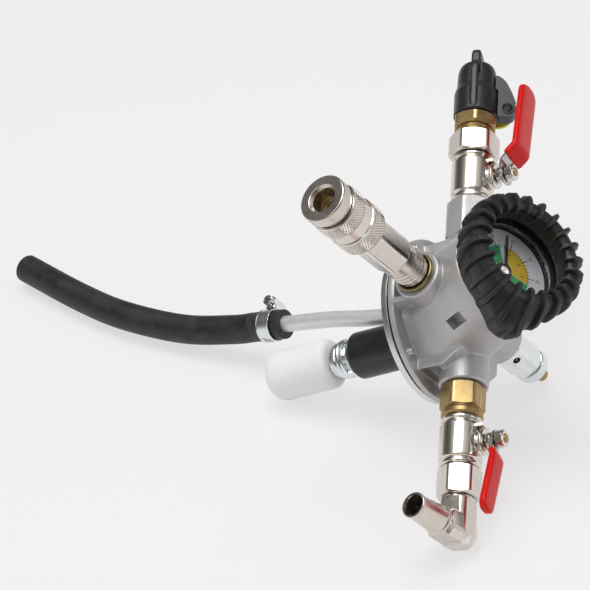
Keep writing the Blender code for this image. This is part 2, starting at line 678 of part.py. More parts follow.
def sphere(name, radius, parent, look=None, tool=False):
    """Make a ball about its parent's origin."""
    mesh = bpy.data.meshes.new(name)
    work = bmesh.new()
    bmesh.ops.create_uvsphere(work, u_segments=14, v_segments=8, radius=radius * MM)
    work.to_mesh(mesh)
    work.free()
    return smooth(add_object(name, mesh, parent, look, tool))


def valve_drive(valve):
    """Ball, stem, gland, lever, grip and nut; all but the gland turn about the stem."""
    side = valve.side
    fixed = side_frame(side + "_gland_frame", valve.port, valve.ball)
    nut(side + "_gland", 7.4, STEM_BOSS_END + GAP, STEM_BOSS_END + 3.1, fixed, NICKEL, bore=STEM_RADIUS + GAP,
        chamfer_low=False)
    axis = child_frame(side + "_stem_axis", fixed, (0, 0, 0), valve.turn)
    ball = sphere(side + "_valve_ball", BALL_RADIUS, axis, STEEL)
    through = child_frame(side + "_ball_bore_frame", axis, (0, 0, 0), 90.0, "Y")
    cut(ball, rod(side + "_ball_bore", BALL_BORE, -8, 8, through, steps=SMALL_STEPS, tool=True))
    cut(ball, block(side + "_ball_slot", (9.0, 1.8, 2.4), axis, at=(0, 0, 6.0), tool=True))
    nut_high = LEVER_NUT_LOW + LEVER_NUT_HEIGHT
    stem = rod(side + "_valve_stem", STEM_RADIUS, BALL_RADIUS + 0.35, nut_high + 0.5, axis, BRASS, bevel=0.2,
               steps=SMALL_STEPS)
    join(stem, block(side + "_stem_tongue", (3.2, 1.2, 2.4), axis, at=(0, 0, 6.3), tool=True))
    lever = side_strip(side + "_lever", lever_line(valve, valve.lever - LEVER_SHORT), 0.0, valve.width, axis, STEEL)
    cut(lever, rod(side + "_lever_hole", STEM_RADIUS + GAP, LEVER_LOW - 2, LEVER_LOW + 4, axis, steps=SMALL_STEPS,
                   tool=True))
    lever_grip(valve, axis)
    nut(side + "_lever_nut", 7.8, LEVER_NUT_LOW, nut_high, axis, NICKEL, bore=STEM_RADIUS + GAP)


def ball_valve(valve):
    """Make every piece of one mini ball valve."""
    valve_body(valve)
    valve_end(valve)
    valve_seats(valve)
    valve_drive(valve)


def lever_line(valve, length):
    """Return the lever's lower side: flat at the stem, raised, then flat again."""
    top = LEVER_LOW + valve.rise
    return [(-LEVER_TAIL, LEVER_LOW), (valve.fold, LEVER_LOW), (valve.fold + valve.run, top), (length, top)]


def offset(line, distance):
    """Return a line moved sideways, with its corners mitred."""
    moved = []
    for i, point in enumerate(line):
        before = Vector(point) - Vector(line[i - 1]) if i else Vector(line[1]) - Vector(point)
        after = Vector(line[i + 1]) - Vector(point) if i + 1 < len(line) else before
        first = Vector((-before.y, before.x)).normalized()
        second = Vector((-after.y, after.x)).normalized()
        moved.append(Vector(point) + distance * (first + second) / (1 + first.dot(second)))
    return moved


def side_strip(name, line, lift, width, axis, look=None, tool=False):
    """Extrude a bent strip across its width, thickened on both sides; it runs along local -X."""
    outline = offset(line, -lift) + offset(line, LEVER_THICK + lift)[::-1]
    mesh = bpy.data.meshes.new(name)
    work = bmesh.new()
    near = [work.verts.new((-x * MM, -width / 2 * MM, z * MM)) for x, z in outline]
    far = [work.verts.new((-x * MM, width / 2 * MM, z * MM)) for x, z in outline]
    work.faces.new(near)
    work.faces.new(far)
    count = len(outline)
    for i in range(count):
        j = (i + 1) % count
        work.faces.new((near[i], near[j], far[j], far[i]))
    bmesh.ops.recalc_face_normals(work, faces=work.faces[:])
    bmesh.ops.triangulate(work, faces=[f for f in work.faces if len(f.verts) > 4])
    work.to_mesh(mesh)
    work.free()
    return add_object(name, mesh, axis, look, tool)


def lever_grip(valve, axis):
    """Dip-coated grip that sleeves the lever with a gap all round."""
    line = lever_line(valve, valve.lever)[1:]
    line[0] = tuple(Vector(line[0]).lerp(Vector(line[1]), GRIP_START))
    width = valve.width + 2 * (GAP + GRIP_WALL)
    grip = side_strip(valve.side + "_lever_grip", line, GAP + GRIP_WALL, width, axis, RED_GRIP)
    cut(grip, side_strip(valve.side + "_grip_hollow", lever_line(valve, valve.lever - LEVER_SHORT + GAP), GAP,
                         valve.width + 2 * GAP, axis, tool=True))


# Drain side: adapter, valve, nipple and dust cap

STRAP_OUTLINE = [(8.5, 6.2), (8.5, 23.4), (10.5, 22.9), (12.6, 21.5), (14.4, 19.2), (15.8, 16.4), (17.2, 13.2),
                 (18.3, 10.2), (19.0, 8.2), (18.6, 6.2)]
TAB_OUTLINE = [(8.5, 6.8), (18.9, 6.8), (19.4, 4.8), (18.8, 2.6), (17.2, 0.9), (15.0, 0.3), (8.5, 0.3)]


def hex_adapter(name, port, face, start, across_flats, turn, look):
    """Hexagon between a boss and a valve, threaded into one and round the other's nose."""
    adapter = nut(name, across_flats, face + GAP, start - GAP, port, look, turn=turn, chamfer_low=False)
    join(adapter, rod(name + "_thread_form", THREAD_RADIUS, face - 9.0, face + 2, port, steps=SMALL_STEPS, tool=True))
    socket = start - THREAD_LENGTH - 1
    cut(adapter, turned(name + "_hollow", [(0, start + 2), (SOCKET_RADIUS, start + 2), (SOCKET_RADIUS, socket),
                                           (VALVE_BORE, socket), (VALVE_BORE, face - 11), (0, face - 11)],
                        port, steps=SMALL_STEPS, tool=True))


def drain_side():
    """Grey adapter, valve, brass nipple and the dust cap with its strap and ring."""
    hex_adapter("drain_adapter", DRAIN, DRAIN_FACE, DRAIN_VALVE.start, DRAIN_ADAPTER_FLATS, DRAIN_ADAPTER_TURN,
                CAST_METAL)
    ball_valve(DRAIN_VALVE)
    neck = DRAIN_VALVE.end + GAP
    nipple = nut("drain_nipple", NIPPLE_FLATS, NIPPLE_HEX, CAP_SKIRT - GAP, DRAIN, BRASS, turn=NIPPLE_TURN)
    join(nipple, turned("nipple_form", [(0, NIPPLE_END), (5.6, NIPPLE_END), (6.4, NIPPLE_END - 1),
                                        (6.4, CAP_SKIRT - 2),
                                        (8.2, CAP_SKIRT - 2), (8.2, neck), (THREAD_RADIUS, neck),
                                        (THREAD_RADIUS, neck - THREAD_LENGTH), (0, neck - THREAD_LENGTH)],
                        DRAIN, steps=ROUND_STEPS, tool=True))
    cut(nipple, rod("nipple_bore", 4.2, neck - 9, 123, DRAIN, steps=SMALL_STEPS, tool=True))
    dust_cap()


def dust_cap():
    """Moulded cap with a grip fin, a strap with an eyelet at its side and a ring behind it."""
    axis = child_frame("cap_axis", DRAIN, (0, 0, CAP_SKIRT), CAP_TURN)
    cap = turned("dust_cap", [(0, 30.6), (5.0, 30.4), (8.0, 28.6), (9.3, 25.0), (9.6, 15.4), (10.3, 14.2),
                              (10.7, 12.4), (10.7, 0.5), (10.2, 0), (0, 0)], axis, BLACK_PLASTIC, steps=WIDE_STEPS)
    fin_axis = child_frame("cap_fin_frame", axis, (0, 0, 0), CAP_FIN_TURN)
    join(cap, block("cap_fin_form", (5.2, 12.4, 20.0), fin_axis, at=(0, 0, 27.8), bevel=1.4, tool=True))
    join(cap, block("cap_rib_form", (3.0, 3.4, 25.0), fin_axis, at=(0.6, -9.6, 13.4), bevel=0.8, tool=True))
    cut(cap, rod("cap_hollow", 6.7, -2, 13.6, axis, steps=ROUND_STEPS, tool=True))
    flat = child_frame("strap_plane", axis, (0, 0, 0), 90.0, "X")
    strap = prism("cap_strap", STRAP_OUTLINE, -10.6, 4.0, flat, BLACK_PLASTIC)
    join(strap, prism("strap_tab_form", TAB_OUTLINE, -3.0, 4.0, flat, tool=True))
    cut(strap, rod("strap_inside", 11.7, -12, 32, axis, steps=WIDE_STEPS, tool=True))
    cut(strap, rod("strap_eyelet", 2.4, -20, 6, flat, steps=TINY_STEPS, at=EYELET, tool=True))
    rod("cap_ring", 8.7, -12.7, -10.9, flat, YELLOW_PLASTIC, bore=5.2, bevel=0.4, at=(10.6, 11.6, 0))


# Outlet side: brass adapter, valve and elbow with a hose stub

def outlet_side():
    """Brass adapter, valve and the forged elbow whose stub takes the outlet hose."""
    hex_adapter("outlet_adapter", OUTLET, OUTLET_FACE, OUTLET_VALVE.start, OUTLET_ADAPTER_FLATS,
                OUTLET_ADAPTER_TURN, BRASS)
    ball_valve(OUTLET_VALVE)
    start = OUTLET_VALVE.end + GAP
    elbow = turned("outlet_elbow", [(0, 116.8), (5.4, 116.8), (8.0, 114.4), (8.0, 104.0), (8.4, start + 0.5),
                                    (7.9, start), (THREAD_RADIUS, start), (THREAD_RADIUS, start - THREAD_LENGTH),
                                    (0, start - THREAD_LENGTH)], OUTLET, NICKEL, steps=ROUND_STEPS)
    leg = frame("elbow_leg_frame", (ELBOW_CORNER, 0, PORT_HEIGHT), ELBOW_LEG, (0, 0, 1))
    join(elbow, turned("elbow_leg_form", [(0, 32.6), (5.6, 32.6), (6.0, 32.2), (6.0, 22.5), (6.8, 21.4), (7.1, 13.6),
                                          (7.8, 11.6), (7.8, 0.6), (0, 0.6)], leg, steps=ROUND_STEPS, tool=True))
    cut(elbow, rod("elbow_leg_bore", 4.4, -2.0, 36.0, leg, steps=SMALL_STEPS, tool=True))
    cut(elbow, rod("elbow_bore", 4.2, start - 9, ELBOW_CORNER + 2.2, OUTLET, steps=SMALL_STEPS, tool=True))


# Air side: quick coupler

def air_side():
    """Coupler body, nose, sliding sleeve, springs and poppet."""
    body = nut("coupler_body", 17.0, 61.8, 84.6, AIR, NICKEL, turn=4.0, chamfer_high=False)
    join(body, turned("coupler_turned_form",
                      [(0, 101.0), (8.1, 101.0), (8.1, 87.3), (9.9, 87.3), (9.9, 84.0), (8.3, 84.0), (8.3, 64.0),
                       (8.5, 61.0), (8.5, 54.0), (8.1, 52.4), (8.1, COUPLER_FACE - 9.0), (0, COUPLER_FACE - 9.0)],
                      AIR, steps=ROUND_STEPS, tool=True))
    cut(body, turned("coupler_hollow", [(0, 103.0), (7.0, 103.0), (7.0, 80.0), (VALVE_BORE, 80.0),
                                        (VALVE_BORE, COUPLER_FACE - 11), (0, COUPLER_FACE - 11)],
                     AIR, steps=ROUND_STEPS, tool=True))
    turned("coupler_nose", [(6.8, 118.1), (10.9, 118.1), (11.4, 117.6), (11.4, 112.2), (10.0, 111.4),
                            (10.0, 101.3), (6.7, 101.3), (6.7, 97.0), (4.4, 97.0), (4.4, 98.6), (5.6, 99.8),
                            (5.6, 116.6)],
           AIR, NICKEL, steps=WIDE_STEPS, ring=True)
    turned("coupler_sleeve", [(11.6, 109.4), (12.0, 109.0), (12.0, 101.8), (11.4, 101.2), (11.4, 95.0),
                              (12.0, 94.6), (12.0, 86.4), (11.5, 85.6), (10.3, 85.6), (10.3, 99.6), (8.4, 99.6),
                              (8.4, 101.0), (10.3, 101.0), (10.3, 109.4)],
           AIR, NICKEL, steps=WIDE_STEPS, ring=True)
    coil("sleeve_spring", 9.5, 0.45, 88.1, 98.8, 5, AIR, STEEL)
    turned("coupler_poppet", [(0, 104.0), (3.2, 104.0), (3.6, 103.6), (3.6, 96.7), (6.3, 96.7), (6.3, 93.9),
                              (1.6, 93.9), (1.6, 84.0), (0, 84.0)],
           AIR, BRASS, steps=SMALL_STEPS)
    coil("poppet_spring", 5.6, 0.45, 80.8, 93.1, 5, AIR, STEEL)


def coil(name, radius, wire_radius, low, high, turns, parent, look):
    """Compression spring as one unbroken wire."""
    per_turn = 10
    count = turns * per_turn
    points = [(radius * math.cos(2 * math.pi * i / per_turn), radius * math.sin(2 * math.pi * i / per_turn),
               low + (high - low) * i / count) for i in range(count + 1)]
    pitch = (high - low) / turns
    print("%s: least gap between curls %.2f mm" % (name, pitch - 2 * wire_radius))
    wire(name, points, wire_radius, parent, look, resolution=1)


# Relief side

def relief_side():
    """Relief valve: body with a vent, cap nut, spring and pull pin."""
    start = RELIEF_FACE + GAP
    body = nut("relief_body", 16.4, start, 53.2, RELIEF, ZINC)
    join(body, rod("relief_thread_form", THREAD_RADIUS, start - 9.0, start + 2, RELIEF, steps=SMALL_STEPS, tool=True))
    cut(body, turned("relief_hollow", [(0, 55.0), (5.6, 55.0), (5.6, 34.0), (3.0, 34.0), (3.0, start - 11),
                                       (0, start - 11)], RELIEF, steps=SMALL_STEPS, tool=True))
    vent = child_frame("vent_frame", RELIEF, (0, 0, 38.6), VENT_TURN)
    vent_axis = child_frame("vent_axis", vent, (0, 0, 0), 90.0, "Y")
    cut(body, rod("vent_hole", 1.9, 0, 12, vent_axis, steps=TINY_STEPS, tool=True))
    turned("relief_cap", [(2.3, 61.0), (7.6, 61.0), (8.5, 60.1), (8.5, 55.0), (7.7, 54.0), (5.3, 54.0),
                          (5.3, 49.0), (2.3, 49.0)], RELIEF, ZINC, steps=ROUND_STEPS, ring=True)
    turned("relief_pin", [(0, 70.0), (2.5, 70.0), (3.0, 69.4), (3.0, 61.3), (1.9, 61.3), (1.9, 36.3), (5.0, 36.3),
                          (5.0, 34.3), (0, 34.3)], RELIEF, BRASS, steps=SMALL_STEPS)
    coil("relief_spring", 3.7, 0.45, 37.1, 48.2, 6, RELIEF, STEEL)


# Tank side: dip tube, hose, clamp, float valve

def tank_side():
    """Dip tube with its hose and clamp, and the float valve."""
    axis = Vector(HOSE_DIRECTION).normalized()
    inside = Vector(HOSE_START) + axis * (CUFF_LENGTH - 3.0)
    tube_knots = [(TUBE_X, 0, 12.0), (TUBE_X, 0, -6.0), (TUBE_X, 0, -20.0), (-12.6, 0, -36.0), (-16.8, 0, -55.0),
                  HOSE_START, tuple(inside)]
    tube_path = smooth_path(tube_knots, 2)
    tube = wire("dip_tube", tube_path, TUBE_RADIUS, WORLD, TUBE_METAL)
    bore_path = [tube_path[0] + Vector((0, 0, 2.0))] + tube_path[1:-1] + [tube_path[-1] + 2.0 * axis]
    cut(tube, wire("dip_tube_bore", bore_path, TUBE_BORE, WORLD, resolution=2))
    float_valve()
    suction_hose()


def float_valve():
    """Sleeve under the plate, its bush, and the float on a rod that shuts the port."""
    at = (SLEEVE_X, 0, 0)
    sleeve = turned("float_sleeve", [(3.0, 3.0), (6.9, 3.0), (6.9, -GAP), (10.2, -GAP), (10.2, -3.2), (11.2, -4.0),
                                     (11.2, -36.6), (10.4, -37.4), (8.0, -37.4), (8.0, -6.0), (3.0, -6.0)],
                    WORLD, BLACK_PLASTIC, at=at, steps=ROUND_STEPS, ring=True)
    vent = frame("sleeve_vent_frame", (SLEEVE_X, 0, -16.0), (0.9, -0.4, 0), (0, 0, 1))
    cut(sleeve, rod("sleeve_vent", 1.8, 0, 14, vent, steps=TINY_STEPS, tool=True))
    turned("float_bush", [(2.4, -33.0), (7.7, -33.0), (7.7, -37.7), (9.6, -37.7), (9.6, -43.0), (8.2, -43.6),
                          (8.2, -49.5), (2.4, -49.5)], WORLD, ZINC, at=at, steps=ROUND_STEPS, ring=True)
    turned("float", [(2.4, -50.5), (10.8, -50.5), (12.2, -52.0), (12.2, -82.0), (10.0, -85.0), (2.4, -85.0)],
           WORLD, WHITE_FOAM, at=at, steps=WIDE_STEPS, ring=True)
    turned("float_rod", [(0, -6.4), (4.2, -6.4), (5.0, -7.2), (5.0, -9.4), (2.1, -9.8), (2.1, -85.3), (4.0, -85.3),
                         (4.0, -86.8), (0, -86.8)], WORLD, STEEL, at=at, steps=SMALL_STEPS)


def suction_hose():
    """Hose: the cuff gripped on the tube, the free run, and the clamp with its screw."""
    cuff_frame = frame("cuff_frame", HOSE_START, HOSE_DIRECTION, (-1, 0, 0))
    rod("hose_cuff", HOSE_RADIUS, 0.0, CUFF_LENGTH, cuff_frame, RUBBER, bore=TUBE_RADIUS + GAP, bevel=0.4)
    route = smooth_path(HOSE_ROUTE, 3)
    hose = wire("suction_hose", route, HOSE_RADIUS, WORLD, RUBBER, resolution=3)
    first = (route[0] - route[1]).normalized()
    last = (route[-1] - route[-2]).normalized()
    cut(hose, wire("hose_bore", [route[0] + 2.0 * first] + route[1:-1] + [route[-1] + 2.0 * last],
                   TUBE_RADIUS, WORLD, resolution=2))
    middle = (BAND_LOW + BAND_HIGH) / 2
    band = rod("clamp_band", 8.5, BAND_LOW, BAND_HIGH, cuff_frame, ZINC, bore=HOSE_RADIUS + GAP, steps=ROUND_STEPS)
    join(band, block("clamp_housing_form", (4.4, 8.6, 6.4), cuff_frame, at=(10.2, 0.0, middle), bevel=0.5, tool=True))
    across = child_frame("clamp_screw_axis", cuff_frame, (10.6, 0, middle), 90.0, "X")
    cut(band, rod("clamp_screw_hole", 1.7, -6.0, 6.0, across, steps=TINY_STEPS, tool=True))
    screw = rod("clamp_screw", 1.4, -5.2, 5.0, across, STEEL, steps=TINY_STEPS)
    join(screw, prism("clamp_screw_head", polygon(6, 5.0), 4.7, 7.4, across, tool=True))


head_casting()
tank_closure()
gauge_set()
gauge_pointer()
gauge_boot()
drain_side()
outlet_side()
air_side()
relief_side()
tank_side()
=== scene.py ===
"""Looks of the tank head of a fluid suction pump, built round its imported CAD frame.

Frame: the seat of the flange is the plane z = 0, with the tank below it. +Z runs up the
flange axis, +X to the outlet valve, -X to the drain valve, -Y to the air coupler and +Y to
the relief valve. Sizes in the classes are in millimetres; finished meshes are in metres.
"""
import logging
import math
from dataclasses import dataclass
from enum import Enum
from functools import partial
from typing import Callable, Optional, Sequence

import bmesh
import bpy
from mathutils import Matrix, Vector


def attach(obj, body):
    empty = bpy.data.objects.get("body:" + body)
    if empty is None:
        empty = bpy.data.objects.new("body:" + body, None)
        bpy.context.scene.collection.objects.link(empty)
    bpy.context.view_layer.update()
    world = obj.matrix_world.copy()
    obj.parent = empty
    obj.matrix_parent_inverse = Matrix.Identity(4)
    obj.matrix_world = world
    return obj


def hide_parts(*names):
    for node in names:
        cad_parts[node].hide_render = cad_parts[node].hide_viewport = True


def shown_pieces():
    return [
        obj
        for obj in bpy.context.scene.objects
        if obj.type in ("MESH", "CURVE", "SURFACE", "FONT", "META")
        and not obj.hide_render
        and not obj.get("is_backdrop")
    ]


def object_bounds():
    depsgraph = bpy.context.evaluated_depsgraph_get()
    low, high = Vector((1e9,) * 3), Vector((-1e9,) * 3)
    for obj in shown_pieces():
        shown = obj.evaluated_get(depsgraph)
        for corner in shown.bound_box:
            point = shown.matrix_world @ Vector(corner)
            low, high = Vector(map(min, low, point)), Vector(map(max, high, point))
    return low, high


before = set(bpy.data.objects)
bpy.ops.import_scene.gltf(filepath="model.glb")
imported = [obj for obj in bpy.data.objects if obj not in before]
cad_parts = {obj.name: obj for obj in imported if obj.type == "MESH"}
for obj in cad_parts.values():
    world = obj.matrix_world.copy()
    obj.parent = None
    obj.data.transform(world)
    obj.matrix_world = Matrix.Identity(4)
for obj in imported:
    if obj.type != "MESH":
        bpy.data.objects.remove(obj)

LOG = logging.getLogger("suction_pump_head")
CAD_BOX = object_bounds()

MM = 0.001
GAP = 0.3
ROUND = 96
SMALL = 48
CREASE = 33.0

PORT_HEIGHT = 22.5
STEM_AXIS = (0.0, 0.069756, 0.997564)
GAUGE_AXIS = (-0.08, -0.42, 0.905)
GAUGE_FOOT = PORT_HEIGHT - 12.5
LIP_STATION = 73.0
DIAL_STATION = LIP_STATION - 23.0
CUP_STATION = LIP_STATION - 23.0
CUP_FLOOR = 35.0
PLATE_THICKNESS = 3.1
FLANGE_BOTTOM = 4.6
FLANGE_TOP = 7.5
SIDE_BOSS_END = 38.0
AIR_BOSS_END = 43.0
RELIEF_BOSS_END = 31.0
THREAD_RADIUS = 6.4
THREAD_LENGTH = 7.0
BOSS_THREAD_LENGTH = 9.0
SOCKET_RADIUS = 6.8
SOCKET_DEPTH = 8.0
VALVE_BORE = 4.6
STEM_BOSS_END = 13.3
LEVER_LOW = STEM_BOSS_END + 3.5
LEVER_NUT_LOW = LEVER_LOW + 1.3 + GAP

Colour = tuple[float, float, float]
Point = tuple[float, float, float]
Pair = tuple[float, float]
Row = Pair | Callable[[float], Pair]
Placer = Callable[[float, float, float], Vector]
Piece = bpy.types.Object
Socket = bpy.types.NodeSocket
Sockets = tuple[Socket, ...]
Sources = bpy.types.NodeOutputs


class Body(Enum):
    """Moving bodies of the frame."""

    HEAD = "head"
    DRAIN_HANDLE = "drain_handle"
    OUTLET_HANDLE = "outlet_handle"
    COLLAR = "coupler_collar"
    PLUNGER = "coupler_plunger"
    RELIEF_PULL = "relief_pull"
    FLOAT = "float_unit"
    NEEDLE = "gauge_needle"
    CAP = "cap_unit"


class Combine(Enum):
    """Ways to combine two solids."""

    JOIN = "UNION"
    CUT = "DIFFERENCE"


class Lines(Enum):
    """Axis that the tool marks of a finish run round."""

    NONE = (0.0, 0.0, 0.0)
    ALONG_X = (1.0, 0.0, 0.0)
    ALONG_Y = (0.0, 1.0, 0.0)
    ALONG_Z = (0.0, 0.0, 1.0)
    GAUGE = GAUGE_AXIS


@dataclass(frozen=True)
class Port:
    """A straight axis: local +Z runs out along it and local +X to its side."""

    origin: Point
    forward: Point
    side: Point

    def matrix(self) -> Matrix:
        """Return the matrix from local to frame millimetres."""
        z_axis = Vector(self.forward).normalized()
        side = Vector(self.side)
        x_axis = (side - side.dot(z_axis) * z_axis).normalized()
        basis = Matrix((x_axis, z_axis.cross(x_axis), z_axis)).transposed().to_4x4()
        return Matrix.Translation(Vector(self.origin)) @ basis

    def __call__(self, x: float, y: float, z: float) -> Vector:
        """Return a local point in the frame."""
        return self.matrix() @ Vector((x, y, z))

    def branch(self, at: Point, forward: Point, side: Point) -> "Port":
        """Return an axis that starts at a local point and runs in a local direction.

        Args:
            at: Start point in this port's own millimetres.
            forward: Direction of the new axis in this port's own axes.
            side: Direction of the new axis' +X in this port's own axes.

        Returns:
            The new port.
        """
        turn = self.matrix().to_3x3()
        return Port(tuple(self(*at)), tuple(turn @ Vector(forward)), tuple(turn @ Vector(side)))

    def beside(self, x: float, y: float, z: float = 0.0) -> "Port":
        """Return the parallel axis through a local point."""
        return self.branch((x, y, z), (0, 0, 1), (1, 0, 0))

    def turned(self, degrees: float, station: float = 0.0) -> "Port":
        """Return the port moved along its axis and turned about it."""
        angle = math.radians(degrees)
        return self.branch((0, 0, station), (0, 0, 1), (math.cos(angle), math.sin(angle), 0))


PORT_CENTRE = (0.0, 0.0, PORT_HEIGHT)
SEAT = Port((0, 0, 0), (0, 0, 1), (1, 0, 0))
OUTLET = Port(PORT_CENTRE, (1, 0, 0), STEM_AXIS)
DRAIN = Port(PORT_CENTRE, (-1, 0, 0), STEM_AXIS)
AIR = Port(PORT_CENTRE, (0, -1, 0), (0, 0, 1))
RELIEF = Port(PORT_CENTRE, (0, 1, 0), (0, 0, 1))
GAUGE = Port((0, 0, GAUGE_FOOT), GAUGE_AXIS, (1, 0, 0))


class Route:
    """A curved axis through points, which places sections square to itself."""

    def __init__(self, knots: Sequence[Point], per_span: int) -> None:
        """Draw a Catmull-Rom curve through the knots.

        Args:
            knots: Points of the route in frame millimetres.
            per_span: Points on the curve for each pair of knots.
        """
        self.points = smooth_path(knots, per_span)
        self.stations = [0.0]
        for near, far in zip(self.points, self.points[1:]):
            self.stations.append(self.stations[-1] + (far - near).length)
        self.tangents = self._tangents()
        self.normals = self._normals()

    def _tangents(self) -> list[Vector]:
        """Return the direction of the curve at each point."""
        last = len(self.points) - 1
        return [(self.points[min(i + 1, last)] - self.points[max(i - 1, 0)]).normalized()
                for i in range(last + 1)]

    def _normals(self) -> list[Vector]:
        """Return one direction across the curve, carried along without twist."""
        normal = Vector((0, 1, 0))
        found = []
        for tangent in self.tangents:
            normal = (normal - normal.dot(tangent) * tangent).normalized()
            found.append(normal.copy())
        return found

    @property
    def length(self) -> float:
        """Length of the curve in millimetres."""
        return self.stations[-1]

    def __call__(self, x: float, y: float, z: float) -> Vector:
        """Return the point z along the curve and x, y across it."""
        i = 0
        while i < len(self.stations) - 2 and self.stations[i + 1] < z:
            i += 1
        span = self.stations[i + 1] - self.stations[i]
        share = (z - self.stations[i]) / span
        held = min(max(share, 0.0), 1.0)
        tangent = self.tangents[i].lerp(self.tangents[i + 1], held).normalized()
        normal = self.normals[i].lerp(self.normals[i + 1], held)
        normal = (normal - normal.dot(tangent) * tangent).normalized()
        centre = self.points[i].lerp(self.points[i + 1], held) + (share - held) * span * tangent
        return centre + x * normal + y * tangent.cross(normal)


def smooth_path(knots: Sequence[Point], per_span: int) -> list[Vector]:
    """Return points on a Catmull-Rom curve through knots.

    Args:
        knots: Points that the curve passes.
        per_span: Points for each pair of knots.

    Returns:
        The points of the curve, both ends included.
    """
    inner = [Vector(k) for k in knots]
    padded = [2 * inner[0] - inner[1]] + inner + [2 * inner[-1] - inner[-2]]
    path = []
    for i in range(1, len(padded) - 2):
        p0, p1, p2, p3 = padded[i - 1:i + 3]
        for j in range(per_span):
            t = j / per_span
            path.append(0.5 * ((2 * p1) + (p2 - p0) * t + (2 * p0 - 5 * p1 + 4 * p2 - p3) * t ** 2
                               + (3 * p1 - p0 - 3 * p2 + p3) * t ** 3))
    return path + [inner[-1]]


def stand(name: str, data: bpy.types.ID) -> Piece:
    """Put data into the scene as an object."""
    made = bpy.data.objects.new(name, data)
    bpy.context.scene.collection.objects.link(made)
    return made


def solid(name: str, points: Sequence[Vector], faces: Sequence[tuple[int, ...]]) -> Piece:
    """Make an object from points in frame millimetres.

    Args:
        name: Name of the object.
        points: Its points.
        faces: Its faces, as indices of points.

    Returns:
        The object, linked to the scene, with its faces pointing out.
    """
    mesh = bpy.data.meshes.new(name)
    mesh.from_pydata([tuple(Vector(p) * MM) for p in points], [], faces)
    work = bmesh.new()
    work.from_mesh(mesh)
    bmesh.ops.recalc_face_normals(work, faces=work.faces[:])
    work.to_mesh(mesh)
    work.free()
    return stand(name, mesh)


def skin(name: str, rows: Sequence[Row], place: Placer, steps: int = ROUND, ring: bool = False) -> Piece:
    """Stretch a skin over rings that stand square to an axis.

    Args:
        name: Name of the object.
        rows: (radius, height) of each ring down the outer side, or a function of the angle.
        place: Port or route that places local points.
        steps: Points round each ring.
        ring: True where the last ring joins the first, as in a tube.

    Returns:
        The new object.
    """
    points: list[Vector] = []
    index: list[list[int]] = []
    for row in rows:
        if not callable(row) and row[0] == 0:
            index.append([len(points)] * steps)
            points.append(place(0, 0, row[1]))
            continue
        index.append(list(range(len(points), len(points) + steps)))
        for j in range(steps):
            angle = 2 * math.pi * j / steps
            radius, height = row(angle) if callable(row) else row
            points.append(place(radius * math.cos(angle), radius * math.sin(angle), height))
    pairs = list(zip(index, index[1:]))
    if ring:
        pairs.append((index[-1], index[0]))
    faces = []
    for upper, lower in pairs:
        for j in range(steps):
            k = (j + 1) % steps
            faces.append(tuple(dict.fromkeys((upper[j], lower[j], lower[k], upper[k]))))
    return solid(name, points, faces)


def eased(points: Sequence[tuple[float, ...]], radius: float = 0.3, ring: bool = False, bends: int = 3
          ) -> list[Pair]:
    """Round the corners of an outline.

    Args:
        points: (radius, height) points, each with its own rounding as a third value if it needs one.
        radius: Rounding of the other corners.
        ring: True for a closed outline.
        bends: Straight runs in each rounded corner.

    Returns:
        The rounded outline.
    """
    count = len(points)
    result: list[Pair] = []
    for i, corner in enumerate(points):
        here = Vector(corner[:2])
        size = corner[2] if len(corner) > 2 else radius
        if size == 0 or (not ring and i in (0, count - 1)):
            result.append(tuple(here))
            continue
        before = Vector(points[i - 1][:2]) - here
        after = Vector(points[(i + 1) % count][:2]) - here
        reach = min(size, before.length * 0.45, after.length * 0.45)
        start = here + before.normalized() * reach
        stop = here + after.normalized() * reach
        for j in range(bends + 1):
            t = j / bends
            result.append(tuple((1 - t) ** 2 * start + 2 * t * (1 - t) * here + t * t * stop))
    return result


def rod_rows(radius: float, low: float, high: float, bore: float = 0.0, ease: float = 0.3) -> list[Pair]:
    """Return the rounded outline of a rod, or of a tube where it has a bore."""
    if bore:
        return eased([(bore, high), (radius, high), (radius, low), (bore, low)], ease, ring=True)
    return eased([(0, high), (radius, high), (radius, low), (0, low)], ease)


@dataclass(frozen=True)
class Hexagon:
    """A hexagon bar with turned chamfers, as rows of a skin."""

    flats: float
    low: float
    high: float
    turn: float = 0.0
    land: float = 0.95
    slope: float = 0.577
    corner: float = 0.35

    def reach(self, angle: float) -> float:
        """Distance from the axis to the side at an angle, with eased corners."""
        sixth = math.pi / 3
        local = (angle - math.radians(self.turn) + sixth / 2) % sixth - sixth / 2
        widest = self.flats / 2 / math.cos(sixth / 2) - self.corner
        return min(self.flats / 2 / math.cos(local), widest)

    def edge(self, end: float, side: int, angle: float) -> Pair:
        """Point where the chamfer at one end meets the side at an angle."""
        reach = self.reach(angle)
        return reach, end - side * (reach - self.flats / 2 * self.land) * self.slope

    def rows(self) -> list[Row]:
        """Return the rows from the high end to the low end."""
        land = self.flats / 2 * self.land
        return [(land, self.high), partial(self.edge, self.high, 1), partial(self.edge, self.low, -1),
                (land, self.low)]


def loft(name: str, sections: Sequence[Sequence[Vector]]) -> Piece:
    """Join closed sections of equal length into a solid with fanned ends."""
    count = len(sections[0])
    points = [p for section in sections for p in section]
    faces = []
    for i in range(len(sections) - 1):
        for j in range(count):
            k = (j + 1) % count
            faces.append((i * count + j, i * count + k, (i + 1) * count + k, (i + 1) * count + j))
    for start in (0, len(points) - count):
        hub = len(points)
        points.append(sum((points[start + j] for j in range(count)), Vector()) / count)
        faces.extend((start + j, start + (j + 1) % count, hub) for j in range(count))
    return solid(name, points, faces)


def rectangle(left: float, right: float, low: float, high: float) -> list[Pair]:
    """Return the corners of a rectangle."""
    return [(left, low), (right, low), (right, high), (left, high)]


